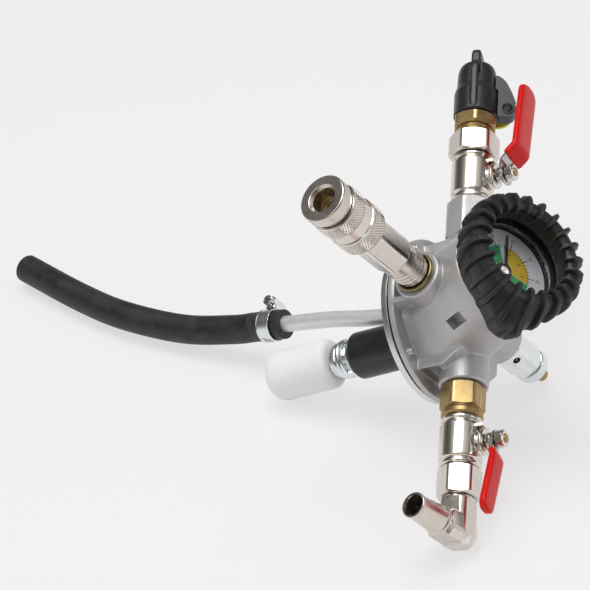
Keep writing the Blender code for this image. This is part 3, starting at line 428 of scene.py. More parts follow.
def prism(name: str, place: Placer, outline: Sequence[Pair], ends: Sequence[Pair]) -> Piece:
    """Stretch an outline along an axis.

    Args:
        name: Name of the object.
        place: Port that places local points.
        outline: Its points across the axis.
        ends: (height, scale) of each section.

    Returns:
        The new object.
    """
    return loft(name, [[place(x * scale, y * scale, z) for x, y in outline] for z, scale in ends])


def drill(radius: float, low: float, high: float, place: Placer, steps: int = SMALL) -> Piece:
    """Make the tool that cuts a straight bore between two heights of an axis."""
    return skin("bore", rod_rows(radius, low, high, ease=0), place, steps)


def oval(centre: Vector, across: Vector, up: Vector, power: float = 2.6, count: int = 36) -> list[Vector]:
    """Return a rounded rectangle of points.

    Args:
        centre: Its centre.
        across: Half of its width, as a vector.
        up: Half of its height, as a vector.
        power: 2 gives an ellipse, and more gives squarer corners.
        count: Points round it.

    Returns:
        The points in order.
    """
    found = []
    for j in range(count):
        angle = 2 * math.pi * j / count
        cosine, sine = math.cos(angle), math.sin(angle)
        x = math.copysign(abs(cosine) ** (2 / power), cosine)
        y = math.copysign(abs(sine) ** (2 / power), sine)
        found.append(centre + x * across + y * up)
    return found


def settle(piece: Piece) -> Piece:
    """Apply every modifier of a piece."""
    graph = bpy.context.evaluated_depsgraph_get()
    mesh = bpy.data.meshes.new_from_object(piece.evaluated_get(graph))
    old = piece.data
    piece.modifiers.clear()
    piece.data = mesh
    bpy.data.meshes.remove(old)
    return piece


def combine(piece: Piece, how: Combine, *tools: Piece) -> Piece:
    """Join tools to a piece, or cut them out of it, and remove the tools."""
    for tool in tools:
        step = piece.modifiers.new("combine", "BOOLEAN")
        step.operation = how.value
        step.solver = "EXACT"
        step.object = tool
        settle(piece)
        bpy.data.objects.remove(tool, do_unlink=True)
    return piece


def merged(name: str, pieces: Sequence[Piece]) -> Piece:
    """Put several solids into one object without joining their volumes."""
    work = bmesh.new()
    for piece in pieces:
        work.from_mesh(piece.data)
        bpy.data.objects.remove(piece, do_unlink=True)
    mesh = bpy.data.meshes.new(name)
    work.to_mesh(mesh)
    work.free()
    return stand(name, mesh)


def moulded(piece: Piece, voxel: float, passes: int) -> Piece:
    """Fuse the volumes of a piece and melt their corners, as in a casting or moulding."""
    fuse = piece.modifiers.new("fuse", "REMESH")
    fuse.mode = "VOXEL"
    fuse.voxel_size = voxel * MM
    melt = piece.modifiers.new("melt", "SMOOTH")
    melt.factor = 0.5
    melt.iterations = passes
    return settle(piece)


def softened(piece: Piece, width: float, angle: float = 28.0) -> Piece:
    """Round the sharp edges of a piece."""
    edge = piece.modifiers.new("soft_edges", "BEVEL")
    edge.width = width * MM
    edge.segments = 2
    edge.limit_method = "ANGLE"
    edge.angle_limit = math.radians(angle)
    return settle(piece)


class Graph:
    """Builds shader nodes: sockets given as inputs are linked and values are set."""

    def __init__(self, tree: bpy.types.NodeTree) -> None:
        """Work on a node tree."""
        self.tree = tree

    def add(self, kind: str, inputs: Optional[dict] = None, **settings: object) -> bpy.types.Node:
        """Add a node.

        Args:
            kind: Type of the node, without its ShaderNode prefix.
            inputs: Value or source socket of each input, by name or number.
            **settings: Properties of the node.

        Returns:
            The node.
        """
        node = self.tree.nodes.new("ShaderNode" + kind)
        for name, value in settings.items():
            setattr(node, name, value)
        for key, value in (inputs or {}).items():
            if isinstance(value, Socket):
                self.tree.links.new(value, node.inputs[key])
            else:
                node.inputs[key].default_value = value
        return node

    def math(self, operation: str, *values: object) -> Socket:
        """Add a Math node and return its result."""
        return self.add("Math", dict(enumerate(values)), operation=operation).outputs[0]

    def mix(self, factor: object, low: object, high: object) -> Socket:
        """Mix two colours and return the result."""
        return self.add("Mix", {0: factor, 6: low, 7: high}, data_type="RGBA").outputs[2]

    def span(self, value: object, low: float, high: float, to_low: object = 0.0, to_high: object = 1.0
             ) -> Socket:
        """Map a range of values to another and return the result."""
        inputs = {"Value": value, "From Min": low, "From Max": high, "To Min": to_low, "To Max": to_high}
        return self.add("MapRange", inputs).outputs[0]


class EffectGroup:
    """Base of the shader node groups that several finishes share."""

    name = ""
    inputs: tuple[tuple[str, str], ...] = ()
    outputs: tuple[tuple[str, str], ...] = ()

    @classmethod
    def tree(cls) -> bpy.types.NodeTree:
        """Return the group, built on its first use."""
        found = bpy.data.node_groups.get(cls.name)
        if found:
            return found
        made = bpy.data.node_groups.new(cls.name, "ShaderNodeTree")
        for label, kind in cls.inputs:
            made.interface.new_socket(label, in_out="INPUT", socket_type="NodeSocket" + kind)
        for label, kind in cls.outputs:
            made.interface.new_socket(label, in_out="OUTPUT", socket_type="NodeSocket" + kind)
        source = made.nodes.new("NodeGroupInput")
        sink = made.nodes.new("NodeGroupOutput")
        results = cls.build(Graph(made), source.outputs)
        for (label, _), result in zip(cls.outputs, results):
            made.links.new(result, sink.inputs[label])
        return made

    @classmethod
    def build(cls, graph: Graph, given: Sources) -> Sockets:
        """Return the sockets that feed the outputs."""
        raise NotImplementedError

    @classmethod
    def place(cls, graph: Graph, **values: object) -> bpy.types.Node:
        """Place the group in a material with its own values."""
        node = graph.add("Group", node_tree=cls.tree())
        for label, value in values.items():
            key = label.replace("_", " ")
            if isinstance(value, Socket):
                graph.tree.links.new(value, node.inputs[key])
            else:
                node.inputs[key].default_value = value
        return node


class Mottling(EffectGroup):
    """Slow drift of colour and gloss over a surface."""

    name = "surface_mottling"
    inputs = (("Vector", "Vector"), ("Scale", "Float"), ("Colour", "Color"), ("Second", "Color"),
              ("Roughness", "Float"), ("Drift", "Float"))
    outputs = (("Colour", "Color"), ("Roughness", "Float"))

    @classmethod
    def build(cls, graph: Graph, given: Sources) -> Sockets:
        """Return mottled colour and roughness."""
        noise = graph.add("TexNoise", {"Vector": given["Vector"], "Scale": given["Scale"], "Detail": 6.0,
                                       "Roughness": 0.62})
        factor = graph.span(noise.outputs["Fac"], 0.32, 0.68)
        colour = graph.mix(factor, given["Colour"], given["Second"])
        swing = graph.math("MULTIPLY", graph.span(factor, 0.0, 1.0, -1.0, 1.0), given["Drift"])
        return colour, graph.math("ADD", swing, given["Roughness"])


class Grain(EffectGroup):
    """Fine lumps and pits of a cast or moulded surface."""

    name = "fine_grain"
    inputs = (("Vector", "Vector"), ("Scale", "Float"), ("Pitting", "Float"))
    outputs = (("Height", "Float"),)

    @classmethod
    def build(cls, graph: Graph, given: Sources) -> Sockets:
        """Return the height of the grain."""
        lumps = graph.add("TexNoise", {"Vector": given["Vector"], "Scale": given["Scale"], "Detail": 3.0})
        wide = graph.math("MULTIPLY", given["Scale"], 0.35)
        cells = graph.add("TexVoronoi", {"Vector": given["Vector"], "Scale": wide})
        pits = graph.span(cells.outputs["Distance"], 0.0, 0.22)
        return (graph.math("MULTIPLY_ADD", pits, given["Pitting"], lumps.outputs["Fac"]),)


class ToolMarks(EffectGroup):
    """Fine rings that a lathe or a draw die leaves round an axis."""

    name = "tool_marks"
    inputs = (("Vector", "Vector"), ("Axis", "Vector"), ("Scale", "Float"))
    outputs = (("Height", "Float"), ("Mask", "Float"))

    @classmethod
    def build(cls, graph: Graph, given: Sources) -> Sockets:
        """Return the height and a mask of the rings."""
        station = graph.add("VectorMath", {0: given["Vector"], 1: given["Axis"]}, operation="DOT_PRODUCT")
        place = graph.math("MULTIPLY", station.outputs["Value"], given["Scale"])
        fine = graph.add("TexNoise", {"W": place, "Scale": 1.0, "Detail": 2.0}, noise_dimensions="1D")
        coarse = graph.add("TexNoise", {"W": graph.math("MULTIPLY", place, 0.13), "Scale": 1.0},
                           noise_dimensions="1D")
        return fine.outputs["Fac"], graph.span(coarse.outputs["Fac"], 0.4, 0.62)


class EdgeWear(EffectGroup):
    """Brighter, smoother metal or paler rubber along sharp edges: partly rubbed metal, partly a painted
    highlight that stands in for light glinting on edges.
    """

    name = "edge_wear_and_highlight"
    inputs = (("Vector", "Vector"), ("Colour", "Color"), ("Worn", "Color"), ("Roughness", "Float"),
              ("Worn Roughness", "Float"), ("Amount", "Float"))
    outputs = (("Colour", "Color"), ("Roughness", "Float"))

    @classmethod
    def build(cls, graph: Graph, given: Sources) -> Sockets:
        """Return colour and roughness with rubbed edges and painted edge highlights."""
        geometry = graph.add("NewGeometry")
        edge = graph.span(geometry.outputs["Pointiness"], 0.515, 0.56)
        patch = graph.add("TexNoise", {"Vector": given["Vector"], "Scale": 450.0, "Detail": 4.0})
        broken = graph.math("MULTIPLY", edge, graph.span(patch.outputs["Fac"], 0.3, 0.6, 0.35, 1.0))
        mask = graph.math("MULTIPLY", broken, given["Amount"])
        colour = graph.mix(mask, given["Colour"], given["Worn"])
        step = graph.math("SUBTRACT", given["Worn Roughness"], given["Roughness"])
        return colour, graph.math("MULTIPLY_ADD", mask, step, given["Roughness"])


class Dusting(EffectGroup):
    """Thin pale film and small specks on dark rubber and plastic, which also lay a painted sheen over the
    dark surface in random patches.
    """

    name = "dust_and_sheen_bloom"
    inputs = (("Vector", "Vector"), ("Colour", "Color"), ("Dust", "Color"), ("Roughness", "Float"),
              ("Amount", "Float"))
    outputs = (("Colour", "Color"), ("Roughness", "Float"))

    @classmethod
    def build(cls, graph: Graph, given: Sources) -> Sockets:
        """Return colour and roughness with a dusty film and a painted sheen."""
        cloud = graph.add("TexNoise",
                          {"Vector": given["Vector"], "Scale": 95.0, "Detail": 7.0, "Roughness": 0.7})
        specks = graph.add("TexVoronoi", {"Vector": given["Vector"], "Scale": 900.0})
        dots = graph.span(specks.outputs["Distance"], 0.13, 0.05)
        film_and_sheen = graph.span(cloud.outputs["Fac"], 0.42, 0.72)
        mask = graph.math("MULTIPLY", graph.math("MAXIMUM", film_and_sheen, graph.math("MULTIPLY", dots, film_and_sheen)),
                          given["Amount"])
        return graph.mix(mask, given["Colour"], given["Dust"]), graph.math("MULTIPLY_ADD", mask, 0.3,
                                                                           given["Roughness"])


@dataclass(frozen=True)
class Finish:
    """A surface finish: its base values and how much of each shared effect it has."""

    name: str
    slot: str
    colour: Colour
    second: Colour
    roughness: float
    metallic: float = 0.0
    drift: float = 0.05
    mottle_scale: float = 120.0
    grain: float = 0.0
    grain_scale: float = 1600.0
    pitting: float = 0.4
    marks: float = 0.0
    mark_scale: float = 9000.0
    # Edge colour, its roughness and its amount: partly rubbed edges, partly a painted highlight along edges.
    worn: Optional[Colour] = None
    worn_roughness: float = 0.2
    wear: float = 0.6
    # Pale colour and its amount over dark surfaces: partly a dusty film, partly a painted sheen.
    dust: Optional[Colour] = None
    dusting: float = 0.5
    coat: float = 0.0
    coat_roughness: float = 0.05
    sheen: float = 0.0
    subsurface: float = 0.0
    specular: float = 0.5

    def material(self, lines: Lines = Lines.NONE) -> bpy.types.Material:
        """Return the material, with tool marks round an axis if it has them.

        Args:
            lines: Axis of the tool marks.

        Returns:
            The material, built on its first use.
        """
        name = "%s_surface_%s" % (self.name, lines.name.lower())
        found = bpy.data.materials.get(name)
        if found:
            return found
        made = bpy.data.materials.new(name)
        made.use_nodes = True
        graph = Graph(made.node_tree)
        shader = made.node_tree.nodes["Principled BSDF"]
        vector = graph.add("TexCoord").outputs["Object"]
        for label, value in (("Metallic", self.metallic), ("Coat Weight", self.coat),
                             ("Coat Roughness", self.coat_roughness), ("Sheen Weight", self.sheen),
                             ("Subsurface Weight", self.subsurface), ("Subsurface Scale", 4 * MM),
                             ("Specular IOR Level", self.specular)):
            shader.inputs[label].default_value = value
        base = Mottling.place(graph, Vector=vector, Scale=self.mottle_scale, Colour=(*self.colour, 1.0),
                              Second=(*self.second, 1.0), Roughness=self.roughness, Drift=self.drift)
        # Edges are lightened by pointiness: partly rubbing, partly a painted highlight.
        if self.worn:
            base = EdgeWear.place(graph, Vector=vector, Colour=base.outputs[0], Worn=(*self.worn, 1.0),
                                  Roughness=base.outputs[1], Worn_Roughness=self.worn_roughness,
                                  Amount=self.wear)
        # Pale patches over dark surfaces: partly dusty film, partly a painted sheen.
        if self.dust:
            base = Dusting.place(graph, Vector=vector, Colour=base.outputs[0], Dust=(*self.dust, 1.0),
                                 Roughness=base.outputs[1], Amount=self.dusting)
        made.node_tree.links.new(base.outputs[0], shader.inputs["Base Color"])
        made.node_tree.links.new(base.outputs[1], shader.inputs["Roughness"])
        self._relief(graph, shader, vector, lines)
        return made

    def _relief(self, graph: Graph, shader: bpy.types.Node, vector: Socket, lines: Lines) -> None:
        """Feed grain and tool marks into the normal."""
        normal = None
        if self.grain:
            grain = Grain.place(graph, Vector=vector, Scale=self.grain_scale, Pitting=self.pitting)
            normal = self._bump(graph, grain.outputs[0], self.grain, None)
        if self.marks and lines is not Lines.NONE:
            marks = ToolMarks.place(graph, Vector=vector, Axis=lines.value, Scale=self.mark_scale)
            normal = self._bump(graph, marks.outputs[0], self.marks, normal)
        if normal:
            graph.tree.links.new(normal, shader.inputs["Normal"])

    def _bump(self, graph: Graph, height: Socket, depth: float, normal: Optional[Socket]) -> Socket:
        """Add relief of a depth in millimetres over an earlier normal, if there is one."""
        inputs = {"Height": height, "Distance": depth * MM, "Strength": 1.0}
        if normal:
            inputs["Normal"] = normal
        return graph.add("Bump", inputs).outputs[0]


@dataclass(frozen=True)
class WindowFinish:
    """Clear plastic that lets light through to the dial."""

    name: str = "clear_window"
    slot: str = "clear_window"
    roughness: float = 0.02

    def material(self, lines: Lines = Lines.NONE) -> bpy.types.Material:
        """Return the material."""
        made = bpy.data.materials.new(self.name)
        made.use_nodes = True
        graph = Graph(made.node_tree)
        shader = made.node_tree.nodes["Principled BSDF"]
        shader.inputs["Roughness"].default_value = self.roughness
        shader.inputs["Transmission Weight"].default_value = 1.0
        shader.inputs["IOR"].default_value = 1.2
        vector = graph.add("TexCoord").outputs["Object"]
        haze = graph.add("TexNoise", {"Vector": vector, "Scale": 300.0, "Detail": 4.0})
        tint = graph.mix(haze.outputs["Fac"], (0.97, 0.98, 0.98, 1.0), (1.0, 1.0, 1.0, 1.0))
        graph.tree.links.new(tint, shader.inputs["Base Color"])
        path = graph.add("LightPath")
        passes = graph.math("MAXIMUM", path.outputs["Is Shadow Ray"], path.outputs["Is Diffuse Ray"])
        clear = graph.add("BsdfTransparent")
        both = graph.add("MixShader", {0: passes, 1: shader.outputs[0], 2: clear.outputs[0]})
        graph.tree.links.new(both.outputs[0], made.node_tree.nodes["Material Output"].inputs["Surface"])
        return made


# The pale edge colours below are partly rubbed edges and partly painted highlights along edges.
CAST = Finish("cast_aluminium", "cast_aluminium", (0.47, 0.461, 0.458), (0.58, 0.57, 0.565), 0.46, 0.62, 0.08,
              mottle_scale=70.0, grain=0.13, grain_scale=1500.0, pitting=0.6, worn=(0.78, 0.77, 0.76),
              worn_roughness=0.32, wear=1.0)
MACHINED = Finish("machined_aluminium", "machined_aluminium", (0.66, 0.66, 0.66), (0.74, 0.74, 0.74), 0.3,
                  1.0, marks=0.012, grain=0.008, worn=(0.85, 0.85, 0.85))
DRAWN = Finish("drawn_aluminium", "bright_aluminium", (0.80, 0.80, 0.81), (0.86, 0.86, 0.87), 0.46, 0.6, 0.06,
               mottle_scale=260.0, grain=0.012, grain_scale=700.0)
NICKEL = Finish("nickel_plate", "nickel_plate", (0.70, 0.65, 0.585), (0.75, 0.705, 0.645), 0.15, 1.0, 0.035,
                grain=0.006, grain_scale=900.0, marks=0.005, worn=(0.9, 0.88, 0.85), worn_roughness=0.1)
NICKEL_FLAT = Finish("nickel_flats", "nickel_plate", (0.64, 0.585, 0.52), (0.70, 0.645, 0.585), 0.27, 1.0,
                     0.05, grain=0.012, grain_scale=1300.0, worn=(0.92, 0.9, 0.87), worn_roughness=0.12,
                     wear=0.9)
BRASS = Finish("brass_bar", "brass", (0.34, 0.235, 0.095), (0.42, 0.295, 0.125), 0.4, 0.9, 0.06,
               mottle_scale=200.0, grain=0.01, grain_scale=1400.0, marks=0.006, worn=(0.66, 0.49, 0.25),
               worn_roughness=0.25, wear=0.9)
ZINC = Finish("zinc_plate", "zinc_plate", (0.74, 0.78, 0.79), (0.80, 0.84, 0.85), 0.26, 1.0, 0.05,
              grain=0.01, grain_scale=1500.0, worn=(0.92, 0.94, 0.95), worn_roughness=0.15, wear=0.8)
STEEL = Finish("lever_steel", "steel", (0.50, 0.49, 0.48), (0.58, 0.57, 0.56), 0.24, 1.0, 0.05,
               grain=0.006, worn=(0.8, 0.8, 0.8))
# The bezel's pale olive edges are painted highlights that stand in for reflections on its rims.
BLACK_STEEL = Finish("black_bezel", "black_steel", (0.012, 0.012, 0.012), (0.02, 0.02, 0.02), 0.2, 0.0, 0.04,
                     coat=1.0, coat_roughness=0.05, worn=(0.45, 0.43, 0.38), wear=1.0)
# Dark rubber and plastic get pale patches that are partly dusty film and partly a painted sheen standing in
# for their lit parts.
RUBBER = Finish("boot_rubber", "black_rubber", (0.008, 0.008, 0.0088), (0.013, 0.013, 0.014), 0.38, 0.0, 0.06,
                grain=0.012, grain_scale=1100.0, worn=(0.06, 0.06, 0.062), worn_roughness=0.5, wear=0.5,
                dust=(0.08, 0.08, 0.082), dusting=0.18)
HOSE_RUBBER = Finish("hose_rubber", "black_rubber", (0.010, 0.0098, 0.0105), (0.018, 0.0175, 0.018), 0.5,
                     0.0, 0.07, mottle_scale=90.0, grain=0.02, grain_scale=900.0, worn=(0.07, 0.07, 0.07),
                     worn_roughness=0.6, wear=0.5, dust=(0.10, 0.098, 0.1), dusting=0.3)
BLACK_PLASTIC = Finish("black_plastic", "black_plastic", (0.012, 0.012, 0.013), (0.018, 0.018, 0.02), 0.33,
                       0.0, 0.06, grain=0.008, grain_scale=1200.0, worn=(0.05, 0.05, 0.052),
                       worn_roughness=0.4, dust=(0.07, 0.07, 0.07), dusting=0.15)
YELLOW_PLASTIC = Finish("yellow_plastic", "yellow_plastic", (0.80, 0.63, 0.07), (0.85, 0.69, 0.10), 0.36, 0.0,
                        grain=0.006)
RED_DIP = Finish("red_dip_coat", "red_dip_coat", (0.66, 0.008, 0.006), (0.72, 0.014, 0.010), 0.24, 0.0, 0.05,
                 mottle_scale=60.0, grain=0.03, grain_scale=260.0, coat=0.1, coat_roughness=0.1, specular=0.2)
MILKY = Finish("milky_float", "white_float_plastic", (0.93, 0.925, 0.93), (0.96, 0.955, 0.96), 0.6, 0.0,
               grain=0.006, subsurface=0.3)
SEAL = Finish("white_seal", "white_seal", (0.82, 0.82, 0.80), (0.88, 0.88, 0.86), 0.4, 0.0, grain=0.005)
OLIVE_SEAL = Finish("olive_brass_seal", "brass", (0.20, 0.165, 0.075), (0.30, 0.25, 0.12), 0.28, 0.9, 0.05)
DIAL_WHITE = Finish("dial_white", "dial_white", (0.74, 0.75, 0.78), (0.78, 0.79, 0.82), 0.5, 0.0, grain=0.004)
DIAL_GREEN = Finish("dial_green", "dial_white", (0.02, 0.30, 0.075), (0.03, 0.35, 0.09), 0.5)
DIAL_YELLOW = Finish("dial_yellow", "dial_white", (0.62, 0.43, 0.03), (0.68, 0.48, 0.04), 0.5)
DIAL_BLACK = Finish("dial_black", "dial_white", (0.015, 0.015, 0.015), (0.03, 0.03, 0.03), 0.5)
NEEDLE_BLACK = Finish("needle_black", "black_steel", (0.01, 0.01, 0.01), (0.02, 0.02, 0.02), 0.4)
WINDOW = WindowFinish()


class Bench:
    """Fits finished pieces to the frame and keeps count of them."""

    def __init__(self) -> None:
        """Start with nothing fitted."""
        self.count = 0

    def fit(self, piece: Piece, finish: "Finish | WindowFinish", body: Body, *nodes: str,
            lines: Lines = Lines.NONE, crease: float = CREASE) -> Piece:
        """Dress a piece, let it ride on its body and let it stand for CAD nodes.

        Args:
            piece: The new mesh, already in its place.
            finish: Its finish.
            body: The body that it rides on.
            *nodes: CAD nodes that it replaces.
            lines: Axis of its tool marks.
            crease: Angle in degrees above which an edge stays sharp.

        Returns:
            The piece.
        """
        piece.data.materials.clear()
        piece.data.materials.append(finish.material(lines))
        piece.data.shade_smooth()
        piece.data.set_sharp_from_angle(angle=math.radians(crease))
        weigh = piece.modifiers.new("weighted_normals", "WEIGHTED_NORMAL")
        weigh.keep_sharp = True
        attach(piece, body.value)
        if nodes:
            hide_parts(*nodes)
        self.count += 1
        LOG.info("%s rides on %s, %d faces", piece.name, body.value, len(piece.data.polygons))
        return piece

    def keep(self, finish: Finish, *nodes: str) -> None:
        """Give a finish to CAD nodes that keep their own mesh."""
        for node in nodes:
            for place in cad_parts[node].material_slots:
                place.material = finish.material()
            LOG.info("%s keeps its CAD mesh", node)


@dataclass
class HeadCasting:
    """Cast body: flange, sloped dome with the gauge cup, four bosses and their webs."""

    flange_radius: float = 39.5
    step_reach: float = 30.9
    step_top: float = 10.9
    cup_radius: float = 25.6
    boss_radius: float = 11.6
    faces: tuple[float, ...] = (SIDE_BOSS_END, SIDE_BOSS_END, AIR_BOSS_END, RELIEF_BOSS_END)
    threads: tuple[float, ...] = (SOCKET_RADIUS, SOCKET_RADIUS, 8.6, SOCKET_RADIUS)
    web: tuple[Pair, ...] = ((-16.7, 17.2), (-16.7, 32.4), (-1.3, 32.4), (7.6, 26.3), (7.6, 17.2))
    web_half: float = 16.2
    pocket: tuple[float, ...] = (15.2, 28.0, 40.0, -14.4, -5.0)
    air_web: tuple[Pair, ...] = ((-16.5, 20.0), (-16.5, 38.8), (0.0, 38.8), (6.0, 30.0), (6.0, 20.0))
    air_web_half: float = 8.6
    air_pocket: tuple[float, ...] = (6.4, 32.0, 42.0, -14.4, -6.5)
    pins: tuple[Pair, ...] = ((27.0, -23.6), (-27.0, -23.6), (-27.0, 23.6), (27.0, 23.6))
    pin_radius: float = 1.7
    pin_rise: float = 1.4
    voxel: float = 0.38
    passes: int = 2

    def build(self, bench: Bench) -> None:
        """Cast the body, machine its bores and fit it."""
        ports = (OUTLET, DRAIN, AIR, RELIEF)
        forms = [skin("flange", rod_rows(self.flange_radius, FLANGE_BOTTOM, FLANGE_TOP, ease=0.4), SEAT),
                 self.dome()]
        pockets = []
        for port, profile, half, pocket in ((OUTLET, self.web, self.web_half, self.pocket),
                                            (DRAIN, self.web, self.web_half, self.pocket),
                                            (AIR, self.air_web, self.air_web_half, self.air_pocket)):
            width, inner, outer, low, high = pocket
            corners = [(low, inner), (low, outer), (high, outer), (high, inner)]
            forms.append(self.crosswise("web", port, profile, half))
            pockets.append(self.crosswise("web_pocket", port, corners, width))
        for x, y in self.pins:
            rows = rod_rows(self.pin_radius, 0, FLANGE_TOP + self.pin_rise - FLANGE_BOTTOM, ease=0.6)
            forms.append(skin("pin", rows, SEAT.beside(x, y, FLANGE_BOTTOM + 1), 24))
        body = moulded(merged("head_casting_cast", forms), self.voxel, 1)
        combine(body, Combine.CUT, *pockets)
        bosses = [skin("boss", rod_rows(self.boss_radius, 8.0, face, ease=0.9), port, SMALL)
                  for port, face in zip(ports, self.faces)]
        body = moulded(merged("head_casting_cast", [body, *bosses]), self.voxel, self.passes)
        tools = []
        for port, face, thread in zip(ports, self.faces, self.threads):
            tools.append(skin("port_hollow",
                              [(0, face + 2), (thread + 1.2, face + 2), (thread, face - 1.2),
                               (thread, face - 11), (3.5, face - 11), (3.5, 6), (0, 6)], port, SMALL))
        tools.append(skin("cup_hollow", [(0, CUP_STATION + 6), (22.9, CUP_STATION + 6), (22.9, CUP_FLOOR),
                                         (5.2, CUP_FLOOR), (5.2, 20.0), (0, 20.0)], GAUGE))
        tools.append(skin("chamber",
                          [(0, PORT_HEIGHT + 4.2), (15, PORT_HEIGHT + 4.2), (15, FLANGE_BOTTOM - 2),
                           (0, FLANGE_BOTTOM - 2)], SEAT, SMALL))
        tools.append(self.square_pocket())
        combine(body, Combine.CUT, *tools)
        bench.fit(body, CAST, Body.HEAD, "head_casting")

    def crosswise(self, name: str, port: Port, outline: Sequence[Pair], half: float) -> Piece:
        """Stretch an outline of (up, out) points to both sides of a port."""
        place = Port(PORT_CENTRE, port.forward, (0, 0, 1))
        return loft(name, [[place(up, y, out) for up, out in outline] for y in (-half, half)])

    def dome(self, count: int = 96) -> Piece:
        """Loft from the octagon on the flange to the tilted rim of the cup."""
        low = []
        for i in range(count):
            angle = 2 * math.pi * i / count
            facet = (angle + math.pi / 8) % (math.pi / 4) - math.pi / 8
            reach = min(self.step_reach / math.cos(facet), self.step_reach * 1.065)
            low.append(Vector((reach * math.cos(angle), reach * math.sin(angle), FLANGE_BOTTOM + 1)))
        step = [Vector((p.x * 0.99, p.y * 0.99, self.step_top)) for p in low]
        sections = [low, step]
        rim = [GAUGE(self.cup_radius * math.cos(2 * math.pi * i / count),
                     self.cup_radius * math.sin(2 * math.pi * i / count), CUP_STATION) for i in range(count)]
        for share in (0.03, 0.2, 0.4, 0.6, 0.8, 1.0):
            draw = 1 - 0.03 * math.sin(math.pi * min(share * 4, 1.0) / 2 + share)
            sections.append([p.lerp(q, share) * draw for p, q in zip(step, rim)])
        return loft("dome", sections)

    def square_pocket(self) -> Piece:
        """Rectangular core hole on the slope of the dome."""
        place = Port((20.0, -27.9, 34.9), (0.73, -0.67, -0.1), (0.62, 0.7, 0.35))
        return prism("square_pocket", place, rectangle(-2.8, 2.8, -4.7, 4.7), ((-6.0, 0.92), (6, 1.1)))


@dataclass
class TankClosure:
    """Clamp plate, gasket and countersunk screws under the flange."""

    plate_radius: float = 38.0
    gasket_radius: float = 36.5
    gasket_thickness: float = 0.9
    screw_reach: float = 25.5
    screw_angles: tuple[float, ...] = (60.0, 180.0, 300.0)
    sleeve_x: float = 7.5
    tube_x: float = -10.0

    def build(self, bench: Bench) -> None:
        """Make the plate, gasket and screws."""
        plate = skin("clamp_plate_turned", rod_rows(self.plate_radius, 0, PLATE_THICKNESS, ease=0.45), SEAT,
                     128)
        holes = [drill(7.3, -2, 6, SEAT.beside(self.sleeve_x, 0)),
                 drill(4.3, -2, 6, SEAT.beside(self.tube_x, 0))]
        for angle in self.screw_angles:
            holes.append(skin("sink", [(0, 6), (2.0, 6), (2.0, 1.9), (3.9, 0), (3.9, -2), (0, -2)],
                              self.screw_place(angle), 32))
        combine(plate, Combine.CUT, *holes)
        bench.fit(plate, MACHINED, Body.HEAD, "clamp_plate", lines=Lines.ALONG_Z)
        low = PLATE_THICKNESS + GAP
        gasket = skin("flange_gasket_turned",
                      rod_rows(self.gasket_radius, low, low + self.gasket_thickness, 17.0, 0.15), SEAT, 128,
                      ring=True)
        bench.fit(gasket, RUBBER, Body.HEAD, "flange_gasket")
        for number, angle in enumerate(self.screw_angles, 1):
            bench.fit(self.screw(number, angle), ZINC, Body.HEAD, "plate_screw_%d" % number)

    def screw_place(self, angle: float) -> Port:
        """Return the axis of the screw at an angle."""
        turn = math.radians(angle)
        return SEAT.beside(self.screw_reach * math.cos(turn), self.screw_reach * math.sin(turn))

    def screw(self, number: int, angle: float) -> Piece:
        """Make one countersunk screw with a cross recess."""
        place = self.screw_place(angle)
        rows = eased([(0, FLANGE_TOP - 0.6), (1.6, FLANGE_TOP - 0.6), (1.6, 1.9), (3.3, 0.2), (0, 0.2)], 0.15)
        screw = skin("plate_screw_%d_turned" % number, rows, place, 40)
        arms = [prism("recess", place, rectangle(-x, x, -y, y), ((-1.0, 1.0), (1.5, 0.45)))
                for x, y in ((2.0, 0.45), (0.45, 2.0))]
        return combine(screw, Combine.CUT, *arms)


